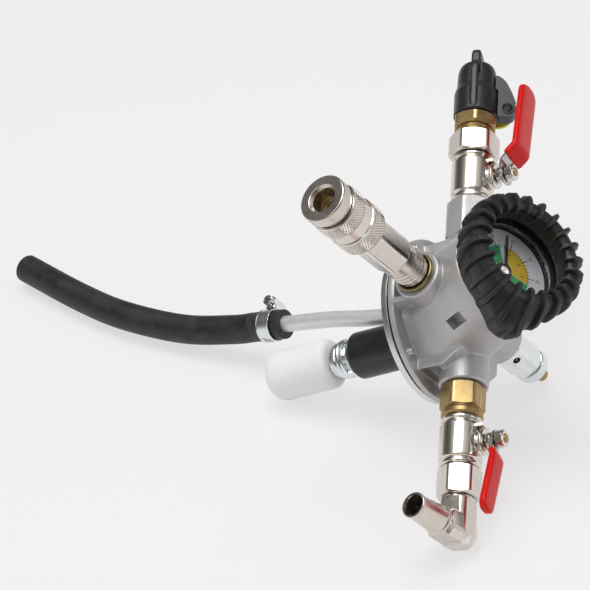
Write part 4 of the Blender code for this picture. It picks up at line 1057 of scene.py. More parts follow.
@dataclass
class Gauge:
    """Vacuum and pressure gauge sunk in the cup: case, dial, pointer, window and bezel."""

    rim: float = DIAL_STATION + 4.6
    dial_radius: float = 21.6
    zone_radius: float = 12.9
    zone_inner: float = 3.0
    print_lift: float = 0.02
    pointer_turn: float = -4.0
    scale_start: float = -60.0
    tick_count: int = 41
    tick_step: float = 7.5
    ticks_per_number: int = 5
    tick_inner: float = 11.6

    def build(self, bench: Bench) -> None:
        """Make every piece of the gauge."""
        back = CUP_FLOOR + GAP
        case = eased([(22.0, DIAL_STATION + 1.2), (22.5, DIAL_STATION + 1.2), (22.5, back + 1.5),
                      (21.0, back), (5.2, back), (5.2, back + 1.3), (20.8, back + 1.3), (21.2, back + 1.8),
                      (21.2, DIAL_STATION - 1.1), (22.0, DIAL_STATION - 1.1)], 0.1, ring=True)
        bench.fit(skin("gauge_case_turned", case, GAUGE, ring=True), BLACK_PLASTIC, Body.HEAD, "gauge_case")
        dial = rod_rows(self.dial_radius, DIAL_STATION - 0.8, DIAL_STATION, 1.3, 0.05)
        bench.fit(skin("gauge_dial_plate", dial, GAUGE, ring=True), DIAL_WHITE, Body.HEAD, "gauge_dial")
        rim = self.rim
        bezel = eased([(21.7, rim), (24.0, rim, 0.8), (24.6, rim - 0.9), (24.6, CUP_STATION + GAP),
                       (23.0, CUP_STATION + GAP), (23.0, rim - 1.5), (21.7, rim - 1.5), (21.7, rim - 0.9),
                       (22.1, rim - 0.7), (21.7, rim - 0.5)], 0.25, ring=True)
        bench.fit(skin("gauge_bezel_rolled", bezel, GAUGE, ring=True), BLACK_STEEL, Body.HEAD, "gauge_bezel")
        window = skin("gauge_window_clear", rod_rows(22.6, rim - 3.0, rim - 1.8, ease=0.1), GAUGE)
        bench.fit(window, WINDOW, Body.HEAD, "gauge_window")
        bench.keep(BRASS, "gauge_stem")
        self.print_dial(bench)
        self.pointer(bench)

    def print_dial(self, bench: Bench) -> None:
        """Lay the coloured zones, ticks and numbers on the dial."""
        lift = DIAL_STATION + self.print_lift
        for name, finish, start, stop in (("dial_zone_left", DIAL_GREEN, 192.0, 240.0),
                                          ("dial_zone_low", DIAL_GREEN, -8.0, 73.0),
                                          ("dial_zone_right", DIAL_YELLOW, 74.0, 174.0)):
            piece = self.sector(name, self.zone_inner, self.zone_radius, start, stop, lift)
            bench.fit(piece, finish, Body.HEAD)
        top = lift + self.print_lift
        bars = []
        for i in range(self.tick_count):
            outer, half = (13.7, 0.12) if i % self.ticks_per_number else (15.6, 0.22)
            bars.append(prism("tick", GAUGE.turned(self.scale_start + self.tick_step * i),
                              rectangle(self.tick_inner, outer, -half, half),
                              ((top, 1), (top + self.print_lift, 1))))
        bench.fit(merged("dial_ticks", bars), DIAL_BLACK, Body.HEAD)
        step = self.ticks_per_number * self.tick_step
        for radius, size, labels in ((9.3, 2.0, range(70, -10, -10)), (17.6, 2.2, range(0, 40, 5))):
            for i, label in enumerate(labels):
                number = self.number(str(label), radius, self.scale_start + step * i, size, top)
                bench.fit(number, DIAL_BLACK, Body.HEAD)

    def sector(self, name: str, inner: float, outer: float, start: float, stop: float, low: float
               ) -> Piece:
        """Make a thin sector of the dial between two angles in degrees."""
        steps = 40
        ring = rectangle(inner, outer, low, low + self.print_lift)
        sections = []
        for i in range(steps + 1):
            angle = math.radians(start + (stop - start) * i / steps)
            sections.append([GAUGE(r * math.cos(angle), r * math.sin(angle), z) for r, z in ring])
        return loft(name, sections)

    def number(self, label: str, radius: float, degrees: float, size: float, low: float) -> Piece:
        """Make one printed number that reads upright with the pointer's end of the dial at the top."""
        curve = bpy.data.curves.new("dial_number", "FONT")
        curve.body = label
        curve.size = size * MM
        curve.align_x = "CENTER"
        curve.align_y = "CENTER"
        curve.extrude = self.print_lift * MM / 2
        text = stand("dial_number", curve)
        angle = math.radians(degrees)
        spot = GAUGE(radius * math.cos(angle), radius * math.sin(angle), low + self.print_lift)
        upright = GAUGE.matrix().to_3x3() @ Matrix.Rotation(math.radians(90.0), 3, "Z")
        text.matrix_world = Matrix.Translation(spot * MM) @ upright.to_4x4()
        bpy.context.view_layer.update()
        mesh = bpy.data.meshes.new_from_object(text.evaluated_get(bpy.context.evaluated_depsgraph_get()))
        mesh.transform(text.matrix_world)
        bpy.data.objects.remove(text, do_unlink=True)
        return stand("dial_number_%s_%d" % (label, round(radius)), mesh)

    def pointer(self, bench: Bench) -> None:
        """Make the pointer: a tapered blade under a domed hub."""
        axis = GAUGE.turned(self.pointer_turn, DIAL_STATION)
        sections = []
        for x, half in ((5.4, 0.7), (4.8, 1.0), (-2.0, 0.85), (-18.4, 0.28), (-19.0, 0.12)):
            sections.append([axis(x, y, z) for y, z in rectangle(-half, half, 0.6, 1.1)])
        bench.fit(loft("gauge_pointer_blade", sections), NEEDLE_BLACK, Body.NEEDLE, "gauge_pointer")
        hub = skin("gauge_pointer_hub",
                   eased([(0, 2.0), (1.2, 1.9), (2.5, 1.5), (2.8, 1.2), (2.8, 0.5), (0.9, 0.5),
                          (0.9, -6.0), (0, -6.0)], 0.4), axis, SMALL)
        bench.fit(hub, STEEL, Body.NEEDLE)


@dataclass
class GaugeBoot:
    """Rubber boot: a skirt, a wide lip with ribs that roll over it, and a spout."""

    ribs: int = 22
    rib_height: float = 2.5
    per_rib: int = 20
    spout_radius: float = 8.5
    spout_base: float = 28.5
    spout_reach: float = 30.4
    spout_turn: float = -6.5

    def profile(self) -> list[tuple[float, float, float, float, float]]:
        """Return radius, height from the lip, and the ribs' outward, upward and the spout's share."""
        return [(22.2, -14.0, 0.0, 0.0, 0.0), (21.9, -11.0, 0.0, 0.0, 0.0), (21.5, -8.2, -0.1, 0.0, 0.0),
                (21.3, -5.8, -0.35, 0.1, 0.0), (21.4, -4.4, -0.6, 0.45, 0.0), (22.0, -3.5, -0.5, 0.8, 0.0),
                (23.2, -2.9, -0.1, 1.0, 0.0), (25.2, -3.0, 0.3, 0.95, 0.0), (26.3, -3.5, 0.55, 0.85, 0.0),
                (26.9, -3.6, 0.6, 0.8, 0.0), (27.0, -4.4, 0.65, 0.7, 0.0), (27.9, -5.6, 0.85, 0.45, 0.05),
                (28.3, -7.2, 1.0, 0.2, 0.2), (28.5, -9.0, 1.0, 0.0, 0.45), (28.5, -11.0, 1.0, 0.0, 0.72),
                (28.3, -13.0, 1.0, -0.1, 0.93), (27.9, -14.8, 0.95, -0.2, 1.0),
                (27.3, -16.3, 0.85, -0.1, 1.04), (26.6, -17.6, 0.75, 0.0, 1.1),
                (26.3, -18.6, 0.6, 0.0, 1.12), (26.0, -20.6, 0.4, 0.0, 1.12), (25.9, -22.3, 0.2, 0.0, 1.1),
                (25.6, -22.6, 0.0, 0.0, 1.05), (25.2, -22.5, 0.0, 0.0, 0.0), (25.2, -14.0, 0.0, 0.0, 0.0),
                (24.4, -13.2, 0.0, 0.0, 0.0), (23.0, -13.2, 0.0, 0.0, 0.0)]

    def lift(self, angle: float) -> float:
        """Return how much of a rib stands at an angle: thin fins with eased flanks."""
        share = min(max((math.cos(self.ribs * angle) - 0.3) / 0.5, 0.0), 1.0)
        return self.rib_height * share * share * (3 - 2 * share)

    def spout(self, angle: float) -> float:
        """Return how far the skirt's tangent spout stands out of its circle at an angle."""
        base, radius, reach = self.spout_base, self.spout_radius, self.spout_reach
        away = abs((angle - math.radians(self.spout_turn) + math.pi) % (2 * math.pi) - math.pi)
        tangent = math.acos((base - radius) / reach)
        if away >= tangent:
            return 0.0
        if away >= math.atan2(radius * math.sin(tangent), reach + radius * math.cos(tangent)):
            return base / math.cos(tangent - away) - base
        return reach * math.cos(away) + math.sqrt(radius ** 2 - (reach * math.sin(away)) ** 2) - base

    def row(self, values: tuple[float, float, float, float, float], angle: float) -> Pair:
        """Return one point of the ribbed section at an angle."""
        radius, height, outward, upward, spout = values
        lift = self.lift(angle)
        return radius + lift * outward + spout * self.spout(angle), LIP_STATION + height + lift * upward

    def build(self, bench: Bench) -> None:
        """Make the boot with its ribs and its spout."""
        rows = [partial(self.row, values) for values in self.profile()]
        boot = skin("gauge_boot_moulded", rows, GAUGE, self.ribs * self.per_rib, ring=True)
        bench.fit(boot, RUBBER, Body.HEAD, "gauge_boot", crease=38.0)


@dataclass
class BallValve:
    """One mini ball valve along a port, with its lever and dip-coated grip."""

    side: str
    port: Port
    handle: Body
    flats: float
    hex_turn: float
    start: float
    ball: float
    split: float
    end: float
    radius: float
    lever_length: float
    lever_width: float
    lever_flat: float
    lever_run: float
    lever_rise: float
    turn: float
    lug: float
    lever_thick: float = 1.3
    grip_wall: float = 1.2
    stem_radius: float = 2.0

    @property
    def stem(self) -> Port:
        """Axis of the stem: local -X runs out along the port."""
        return self.port.branch((0, 0, self.ball), (1, 0, 0), (0, 0, -1))

    @property
    def handle_axis(self) -> Port:
        """Axis of the stem, turned as the lever stands."""
        return self.stem.turned(self.turn)

    def build(self, bench: Bench) -> None:
        """Make every piece of the valve."""
        self.barrel(bench)
        self.end_piece(bench)
        self.stem_parts(bench)
        self.lever(bench)
        self.grip(bench)
        bench.keep(SEAL, self.side + "_seat_inner", self.side + "_seat_outer")
        bench.keep(STEEL, self.side + "_valve_ball")

    def barrel(self, bench: Bench) -> None:
        """Barrel with a ringed collar at each end and a stem boss."""
        r, start, split = self.radius, self.start, self.split
        rows = eased([(0, split), (r - 1.3, split), (r - 0.35, split - 0.7), (r - 0.35, split - 1.8),
                      (r - 1.2, split - 2.3), (r - 1.2, split - 2.8), (r - 0.1, split - 3.6),
                      (r, split - 4.6), (r, start + 4.8), (r - 0.1, start + 4.0), (r - 1.2, start + 3.2),
                      (r - 1.2, start + 2.7), (r - 0.35, start + 2.1), (r - 0.35, start + 0.8),
                      (r - 1.3, start), (THREAD_RADIUS, start), (THREAD_RADIUS, start - THREAD_LENGTH),
                      (0, start - THREAD_LENGTH)], 0.35)
        barrel = skin(self.side + "_valve_barrel", rows, self.port)
        boss = STEM_BOSS_END
        neck = skin("neck",
                    eased([(0, boss), (5.3, boss), (6.1, boss - 0.6), (6.1, boss - 1.6), (5.3, boss - 2.0),
                           (5.3, boss - 2.5), (6.0, boss - 3.0), (6.0, 5.4), (7.4, 3.0, 1.0), (0, 3.0)],
                          0.3), self.stem, 72)
        lug = rectangle(self.lug - 0.9, self.lug + 0.9, -4.6, 4.6)
        stop = loft("stop_lug",
                    [[self.stem(x, y * s, z) for x, y in lug] for z, s in ((4.0, 1.25), (12.6, 0.85))])
        combine(barrel, Combine.JOIN, neck, softened(stop, 0.5))
        hollow = skin("hollow",
                      [(0, split + 2), (7.4, split + 2), (7.4, self.ball - 6.6),
                       (VALVE_BORE, self.ball - 6.6), (VALVE_BORE, start - 9), (0, start - 9)], self.port,
                      SMALL)
        combine(barrel, Combine.CUT, hollow, drill(self.stem_radius + GAP, 5, boss + 2, self.stem, 32))
        bench.fit(barrel, NICKEL, Body.HEAD, self.side + "_valve_body", lines=Lines.ALONG_X)

    def end_piece(self, bench: Bench) -> None:
        """Hexagonal end that screws into the barrel."""
        low = self.split + GAP
        shape = Hexagon(self.flats, low, self.end, self.hex_turn)
        floor = self.end - SOCKET_DEPTH
        rows: list[Row] = [(SOCKET_RADIUS, floor), (SOCKET_RADIUS, self.end), *shape.rows(),
                           (VALVE_BORE, low), (VALVE_BORE, floor)]
        piece = softened(skin(self.side + "_valve_hex_end", rows, self.port, ring=True), 0.16)
        bench.fit(piece, NICKEL_FLAT, Body.HEAD, self.side + "_valve_end")

    def stem_parts(self, bench: Bench) -> None:
        """Stem, gland and the nut that holds the lever."""
        nut_high = LEVER_NUT_LOW + 4.3
        rows = eased([(0, nut_high + 0.5), (self.stem_radius, nut_high + 0.5), (self.stem_radius, 6.5),
                      (0, 6.5)], 0.35)
        bench.fit(skin(self.side + "_valve_stem_turned", rows, self.handle_axis, SMALL), BRASS, self.handle,
                  self.side + "_valve_stem")
        bore = self.stem_radius + 0.1
        gland = ("gland", 7.4, STEM_BOSS_END + GAP, STEM_BOSS_END + 3.1, Body.HEAD)
        nut = ("lever_nut", 7.8, LEVER_NUT_LOW, nut_high, self.handle)
        for name, flats, low, high, body in (gland, nut):
            node = "%s_%s" % (self.side, name)
            rows = [(bore, high), *Hexagon(flats, low, high, land=0.86).rows(), (bore, low)]
            piece = softened(skin(node + "_hex", rows, self.handle_axis, SMALL, ring=True), 0.12)
            bench.fit(piece, NICKEL, body, node)

    def line(self, x: float) -> float:
        """Height of the lever's underside above its flat at a distance from the stem."""
        share = min(max((x - self.lever_flat) / self.lever_run, 0.0), 1.0)
        return self.lever_rise * share

    def strip(self, name: str, stations: Sequence[tuple[float, float]], half_thick: float, power: float
              ) -> Piece:
        """Loft a strip that follows the lever's bend.

        Args:
            name: Name of the piece.
            stations: Distance from the stem and half width of each section.
            half_thick: Half of the strip's thickness.
            power: Squareness of its sections.

        Returns:
            The strip.
        """
        base = LEVER_LOW + self.lever_thick / 2
        axis = self.handle_axis
        turn = axis.matrix().to_3x3()
        sections = []
        for x, half in stations:
            slope = math.atan2(self.line(x + 0.7) - self.line(x - 0.7), 1.4)
            tip = min(1.0, half / 2.5)
            up = turn @ Vector((math.sin(slope), 0, math.cos(slope))) * half_thick * tip
            across = turn @ Vector((0, half, 0))
            centre = axis(-x, 0, base + (self.line(x - 0.7) + self.line(x) + self.line(x + 0.7)) / 3)
            sections.append(oval(centre, across, up, power))
        return loft(name, sections)

    def lever(self, bench: Bench) -> None:
        """Bent steel lever with a round end under the nut."""
        half = self.lever_width / 2
        end = 5.3
        stations = [(-end * math.cos(a), half * math.sin(a)) for a in
                    (math.radians(d) for d in (8, 20, 35, 50, 65, 80))]
        stations += [(x, half) for x in self.bends(2.0)]
        stations += [(x, half) for x in (20.0, 30.0)]
        stations.append((self.lever_length - 3.0, half * 0.8))
        piece = self.strip(self.side + "_lever_plate", stations, self.lever_thick / 2, 9.0)
        bore = drill(self.stem_radius + 0.1, LEVER_LOW - 1, LEVER_LOW + 3, self.stem, 32)
        combine(piece, Combine.CUT, bore)
        bench.fit(piece, STEEL, self.handle, self.side + "_lever")

    def bends(self, start: float) -> list[float]:
        """Return stations from a start that follow both bends of the lever closely."""
        fold, top = self.lever_flat, self.lever_flat + self.lever_run
        places = [start, fold - 1.4, fold - 0.7, fold, fold + 0.7, fold + 1.4, (fold + top) / 2, top - 1.4,
                  top - 0.7, top, top + 0.7, top + 1.4, top + 3.0]
        return [x for x in places if x >= start]

    def grip(self, bench: Bench) -> None:
        """Dip-coated grip with rounded corners at its tip."""
        half = self.lever_width / 2 + GAP + 1.0
        low = self.lever_flat + 0.35 * self.lever_run
        length = self.lever_length
        bends = self.bends(low + 1.0)
        stations = [(low - 0.3, half * 0.8), (low, half * 0.92), (low + 0.6, half * 0.98)]
        stations += [(x, half) for x in bends]
        first, last = bends[-1], length - 4.5
        stations += [(first + (last - first) * i / 5, half) for i in range(1, 6)]
        stations += [(length - 3.0, half * 0.97), (length - 1.9, half * 0.88), (length - 1.1, half * 0.74),
                     (length - 0.5, half * 0.52), (length - 0.1, half * 0.26)]
        piece = self.strip(self.side + "_grip_dipped", stations, self.lever_thick / 2 + self.grip_wall, 3.6)
        rounding = piece.modifiers.new("round", "SUBSURF")
        rounding.levels = rounding.render_levels = 1
        settle(piece)
        bench.fit(piece, RED_DIP, self.handle, self.side + "_lever_grip", crease=70.0)


DRAIN_VALVE = BallValve("drain", DRAIN, Body.DRAIN_HANDLE, flats=21.8, hex_turn=-1.0, start=58.8, ball=71.5,
                        split=83.9, end=96.0, radius=10.35, lever_length=50.5, lever_width=12.2,
                        lever_flat=5.2, lever_run=7.4, lever_rise=6.7, turn=-8.0, lug=-7.4)
OUTLET_VALVE = BallValve("outlet", OUTLET, Body.OUTLET_HANDLE, flats=18.2, hex_turn=1.0, start=54.6,
                         ball=67.6, split=79.1, end=93.6, radius=10.0, lever_length=41.5, lever_width=7.6,
                         lever_flat=6.6, lever_run=4.4, lever_rise=2.6, turn=-16.5, lug=7.4)


def hex_adapter(name: str, port: Port, face: float, start: float, flats: float, turn: float, collar: float
                ) -> Piece:
    """Make a hexagon adapter between a boss and a valve, with a turned collar at its valve end.

    Args:
        name: Name of the piece.
        port: Its axis.
        face: Station of the boss' face.
        start: Station where the valve starts.
        flats: Width across the flats.
        turn: Turn of the hexagon in degrees.
        collar: Radius of the turned collar, or 0 for none.

    Returns:
        The adapter.
    """
    low, high, foot = face + GAP, start - GAP, face - BOSS_THREAD_LENGTH
    shape = Hexagon(flats, low, high - (4.0 if collar else 0.0), turn)
    floor = start - SOCKET_DEPTH
    rows: list[Row] = [(SOCKET_RADIUS, floor), (SOCKET_RADIUS, high)]
    if collar:
        rows += [(collar - 1.0, high), (collar, high - 0.8), (collar, high - 2.6), (collar - 0.9, high - 3.6),
                 (collar - 0.9, high - 4.0)]
    rows += [*shape.rows(), (THREAD_RADIUS, low), (THREAD_RADIUS, foot), (VALVE_BORE, foot),
             (VALVE_BORE, floor)]
    return softened(skin(name, rows, port, ring=True), 0.16)


@dataclass
class DrainFittings:
    """Grey adapter, brass nipple and the dust cap with its strap and ring."""

    cap_skirt: float = 107.0
    cap_turn: float = 31.8
    nipple_hex: float = 99.9
    cap_voxel: float = 0.32
    fin_turn: float = -14.0
    eyelet: Pair = (15.0, 4.8)
    ring_place: Pair = (10.6, 11.6)
    strap_outline: tuple[Pair, ...] = ((18.6, 6.2), (19.0, 8.2), (18.3, 10.2), (17.2, 13.2), (15.8, 16.4),
                                       (14.4, 19.2), (12.6, 21.5), (10.5, 22.9), (8.5, 23.4), (8.5, 6.2))
    tab_outline: tuple[Pair, ...] = ((8.5, 0.3), (15.0, 0.3), (17.2, 0.9), (18.8, 2.6), (19.4, 4.8),
                                     (18.9, 6.8), (8.5, 6.8))

    def build(self, bench: Bench) -> None:
        """Make the pieces on the drain side."""
        adapter = hex_adapter("drain_adapter_hex", DRAIN, SIDE_BOSS_END, DRAIN_VALVE.start, 21.0, 8.0, 0.0)
        bench.fit(adapter, CAST, Body.HEAD, "drain_adapter")
        DRAIN_VALVE.build(bench)
        neck = DRAIN_VALVE.end + GAP
        shape = Hexagon(19.6, self.nipple_hex, self.cap_skirt - GAP, 29.0)
        rows: list[Row] = [(4.2, 119.5), (5.6, 119.5), (6.4, 118.5), (6.4, self.cap_skirt - GAP),
                           *shape.rows(), (8.6, self.nipple_hex), (8.9, self.nipple_hex - 0.8),
                           (8.4, self.nipple_hex - 1.8), (8.8, self.nipple_hex - 2.6), (8.2, neck),
                           (THREAD_RADIUS, neck), (THREAD_RADIUS, neck - THREAD_LENGTH),
                           (4.2, neck - THREAD_LENGTH)]
        nipple = softened(skin("drain_nipple_hex", rows, DRAIN, ring=True), 0.16)
        bench.fit(nipple, BRASS, Body.HEAD, "drain_nipple", lines=Lines.ALONG_X)
        self.dust_cap(bench)

    def dust_cap(self, bench: Bench) -> None:
        """Moulded cap with a grip fin, a strap with an eyelet and a ring."""
        axis = DRAIN.turned(self.cap_turn, self.cap_skirt)
        shell = eased([(0, 30.6), (5.0, 30.3, 2.0), (8.2, 28.4, 2.5), (9.3, 25.0, 2.0), (9.6, 15.4),
                       (10.3, 14.4), (10.7, 12.6, 1.0), (10.7, 0.5), (10.2, 0), (0, 0)], 0.4, bends=5)
        fin = axis.turned(self.fin_turn)
        forms = [skin("cap_shell", shell, axis),
                 self.pad(fin, (0, 0, 27.8), (2.6, 6.2, 10.0), 5.0),
                 self.pad(fin, (0.6, -9.6, 13.4), (1.5, 1.7, 12.5), 6.0)]
        cap = moulded(merged("dust_cap_moulded", forms), self.cap_voxel, 4)
        hollow = skin("hollow", rod_rows(6.7, -2, 13.6, ease=0.5), axis, SMALL)
        notch = self.pad(fin, (2.8, -8.0, 26.0), (0.8, 4.0, 5.4), 8.0)
        combine(cap, Combine.CUT, hollow, notch)
        bench.fit(cap, BLACK_PLASTIC, Body.CAP, "dust_cap", crease=50.0)
        flat = axis.branch((0, 0, 0), (0, -1, 0), (1, 0, 0))
        strap = prism("cap_strap_moulded", flat, self.strap_outline, ((-10.6, 1), (4.0, 1)))
        combine(strap, Combine.JOIN, prism("tab", flat, self.tab_outline, ((-3.0, 1), (4.0, 1))))
        inside = skin("inside", [(0, 32), (9.75, 32), (9.75, 16.2), (11.0, 14.4), (11.0, -12), (0, -12)],
                      axis)
        eyelet = flat.beside(*self.eyelet)
        combine(strap, Combine.CUT, inside, drill(2.4, -20, 6, eyelet, 40))
        lip = skin("lip", rod_rows(3.2, 3.6, 4.5, 2.4, 0.3), eyelet, 40, ring=True)
        bench.fit(merged("cap_strap_moulded", [softened(strap, 1.0), lip]), BLACK_PLASTIC, Body.CAP,
                  "cap_strap")
        ring = skin("cap_ring_moulded", rod_rows(8.7, -12.7, -10.9, 5.2, 0.5),
                    flat.beside(*self.ring_place), ring=True)
        bench.fit(ring, YELLOW_PLASTIC, Body.CAP, "cap_ring")

    def pad(self, axis: Port, at: Point, half: Point, power: float) -> Piece:
        """Make a block with rounded sides and ends."""
        turn = axis.matrix().to_3x3()
        sections = []
        for share in (-1.0, -0.97, -0.88, -0.7, 0.0, 0.7, 0.88, 0.97, 1.0):
            draw = (1 - abs(share) ** power) ** (1 / power)
            centre = axis(at[0], at[1], at[2] + half[2] * share)
            sections.append(oval(centre, turn @ Vector((half[0] * max(draw, 0.3), 0, 0)),
                                 turn @ Vector((0, half[1] * max(draw, 0.3), 0)), power))
        return loft("pad", sections)


@dataclass
class OutletFittings:
    """Brass adapter, valve and the forged elbow whose stub takes the outlet hose."""

    corner: float = 109.0
    leg_tilt: float = -0.067
    block_half: float = 6.9
    block_reach: float = 8.3

    def build(self, bench: Bench) -> None:
        """Make the pieces on the outlet side."""
        adapter = hex_adapter("outlet_adapter_hex", OUTLET, SIDE_BOSS_END, OUTLET_VALVE.start, 18.8, 1.0, 9.7)
        bench.fit(adapter, BRASS, Body.HEAD, "outlet_adapter", lines=Lines.ALONG_X)
        OUTLET_VALVE.build(bench)
        start = OUTLET_VALVE.end + GAP
        upright = skin("upright",
                       [(0, 116.4), (4.6, 116.2), (6.4, 115.2), (7.2, 113.2), partial(self.block, 111.0),
                        partial(self.block, start + 1.4), (7.5, start + 0.6), (7.3, start),
                        (THREAD_RADIUS, start), (THREAD_RADIUS, start - THREAD_LENGTH),
                        (0, start - THREAD_LENGTH)], OUTLET)
        leg = Port((self.corner, 0, PORT_HEIGHT), (0, -1, self.leg_tilt), (0, 0, 1))
        tube = skin("leg",
                    eased([(0, 32.6), (5.9, 32.6, 0.4), (6.1, 31.9, 0.3), (6.0, 31.2), (5.7, 30.8),
                           (5.9, 24.5), (6.6, 15.4), (7.1, 14.9), (7.2, 13.6), (6.8, 13.1)], 0.2)
                    + [partial(self.block, 12.0), partial(self.block, -4.0), (6.6, -7.0), (0, -7.4)], leg)
        upright.name = "outlet_elbow_forged"
        elbow = combine(upright, Combine.JOIN, tube)
        combine(elbow, Combine.CUT,
                skin("leg_bore", [(0, 36), (5.0, 36), (5.0, 32.0), (4.4, 31.4), (4.4, -2), (0, -2)], leg,
                     SMALL),
                drill(4.2, start - 9, self.corner + 2.2, OUTLET))
        bench.fit(elbow, NICKEL_FLAT, Body.HEAD, "outlet_elbow", crease=45.0)

    def block(self, height: float, angle: float) -> Pair:
        """Return the forged square section of the elbow's block."""
        local = (angle + math.pi / 4) % (math.pi / 2) - math.pi / 4
        return min(self.block_half / math.cos(local), self.block_reach), height


@dataclass
class AirCoupler:
    """Quick coupler: body, nose, knurled sleeve, springs and poppet."""

    teeth: int = 60
    tooth_depth: float = 0.6
    tooth_pitch: float = 1.3
    knurl_step: float = 0.22
    sleeve_radius: float = 12.0

    def knurl(self, height: float, angle: float) -> Pair:
        """Return a point on the diamond knurl at a height."""
        turn = angle * self.teeth / (2 * math.pi)
        climb = height / self.tooth_pitch / 2
        groove = max(1 - 2.3 * abs((phase % 1.0) - 0.5) for phase in (turn + climb, turn - climb))
        return self.sleeve_radius - self.tooth_depth * max(groove, 0.0), height

    def knurled(self, high: float, low: float) -> list[Row]:
        """Return the rows of a knurled band."""
        count = round((high - low) / self.knurl_step)
        return [partial(self.knurl, high + (low - high) * i / count) for i in range(count + 1)]

    def build(self, bench: Bench) -> None:
        """Make the pieces of the coupler."""
        shape = Hexagon(17.0, 61.8, 84.6, 4.0, land=0.99)
        rows: list[Row] = [(7.0, 101.0), (8.1, 101.0), (8.1, 87.3), (9.9, 87.3), (9.9, 84.6), *shape.rows()]
        rows += eased([(7.9, 61.8), (8.4, 61.2), (8.5, 55.6), (8.1, 55.2), (8.1, 54.6), (8.45, 54.1),
                       (8.45, 53.4), (8.05, 52.9), (8.05, 52.3), (8.4, 51.8), (8.4, 51.1), (8.0, 50.6),
                       (8.0, 50.0), (8.35, 49.5), (8.35, 48.8), (7.9, 48.3), (7.9, 34.0)], 0.2)
        rows += [(VALVE_BORE, 34.0), (VALVE_BORE, 80.0), (7.0, 80.0)]
        body = softened(skin("coupler_body_turned", rows, AIR, ring=True), 0.14)
        bench.fit(body, NICKEL_FLAT, Body.HEAD, "coupler_body")
        seal = skin("coupler_seal_ring", eased([(8.5, 45.4), (9.2, 45.2, 0.5), (9.6, 44.2, 0.5), (9.4, 43.3),
                                                (8.5, 43.3)], 0.3, ring=True), AIR, ring=True)
        bench.fit(seal, OLIVE_SEAL, Body.HEAD)
        nose = eased([(6.9, 118.1, 0.2), (10.9, 118.1, 0.25), (11.4, 117.5), (11.4, 112.6), (10.7, 112.0),
                      (10.0, 111.6), (10.0, 101.3), (6.7, 101.3), (6.7, 97.0), (4.4, 97.0), (4.4, 98.6),
                      (5.6, 99.8), (5.6, 108.0), (5.9, 108.6), (5.9, 110.0), (5.6, 110.6), (5.6, 116.6)],
                     0.22, ring=True)
        bench.fit(skin("coupler_nose_turned", nose, AIR, ring=True), NICKEL_FLAT, Body.HEAD, "coupler_nose",
                  lines=Lines.ALONG_Y)
        lining = skin("coupler_brass_lining",
                      eased([(5.0, 108.0), (5.5, 108.0), (5.5, 100.2), (5.0, 100.0)], 0.1,
                            ring=True), AIR, ring=True)
        bench.fit(lining, BRASS, Body.HEAD)
        r = self.sleeve_radius
        outer: list[Row] = [(r - 0.8, 109.4), (r - 0.5, 109.1), *self.knurled(108.8, 102.2),
                            (r - 0.5, 101.8), (r - 0.7, 101.4), (r - 0.7, 95.9), (r - 0.15, 95.5),
                            (r - 0.05, 95.2), (r - 0.05, 94.7), (r - 0.5, 94.2), *self.knurled(93.8, 86.7),
                            (r - 0.5, 86.2), (r - 0.8, 85.7)]
        inner: list[Row] = [(10.3, 85.7), (10.3, 99.6), (8.4, 99.6), (8.4, 101.0), (10.3, 101.0),
                            (10.3, 109.4)]
        sleeve = skin("coupler_sleeve_knurled", outer + inner, AIR, self.teeth * 8, ring=True)
        bench.fit(sleeve, NICKEL, Body.COLLAR, "coupler_sleeve", crease=14.0)
        poppet = skin("coupler_poppet_turned",
                      eased([(0, 104.0), (3.2, 104.0), (3.6, 103.6), (3.6, 96.7), (6.3, 96.7),
                             (6.3, 93.9), (1.6, 93.9), (1.6, 84.0), (0, 84.0)], 0.3), AIR, SMALL)
        bench.fit(poppet, BRASS, Body.PLUNGER, "coupler_poppet", lines=Lines.ALONG_Y)
        bench.keep(STEEL, "sleeve_spring", "poppet_spring")


@dataclass
class ReliefValve:
    """Relief valve: body with a vent, cap nut, spring and pull pin."""

    flats: float = 16.4
    vent_turn: float = 60.0
    vent_station: float = 38.6

    def build(self, bench: Bench) -> None:
        """Make the pieces of the relief valve."""
        start = RELIEF_BOSS_END + GAP
        foot = start - BOSS_THREAD_LENGTH
        shape = Hexagon(self.flats, start + 1.6, 53.2, land=0.94)
        rows: list[Row] = [(5.6, 53.2), *shape.rows(), (8.0, start + 1.6), (8.3, start + 1.0), (8.0, start),
                           (THREAD_RADIUS, start), (THREAD_RADIUS, foot), (3.0, foot),
                           (3.0, 34.0), (5.6, 34.0)]
        body = softened(skin("relief_body_hex", rows, RELIEF, ring=True), 0.18)
        axis = RELIEF.turned(self.vent_turn, self.vent_station).branch((0, 0, 0), (1, 0, 0), (0, 0, 1))
        combine(body, Combine.CUT, drill(1.9, 0, 12, axis, 40))
        bench.fit(body, ZINC, Body.HEAD, "relief_body")
        cap = eased([(2.3, 61.0), (7.2, 61.0, 0.9), (8.4, 59.8, 1.2), (8.5, 55.2), (8.3, 54.6), (7.4, 54.0),
                     (5.3, 54.0), (5.3, 49.0), (2.3, 49.0)], 0.3, ring=True, bends=4)
        bench.fit(skin("relief_cap_turned", cap, RELIEF, ring=True), ZINC, Body.HEAD, "relief_cap")
        pin = eased([(0, 70.0), (2.2, 70.0, 0.8), (3.0, 69.2, 0.8), (3.0, 61.3), (1.9, 61.3), (1.9, 36.3),
                     (5.0, 36.3), (5.0, 34.3), (0, 34.3)], 0.3)
        bench.fit(skin("relief_pin_turned", pin, RELIEF, SMALL), BRASS, Body.RELIEF_PULL, "relief_pin",
                  lines=Lines.ALONG_Y)
        bench.keep(STEEL, "relief_spring")


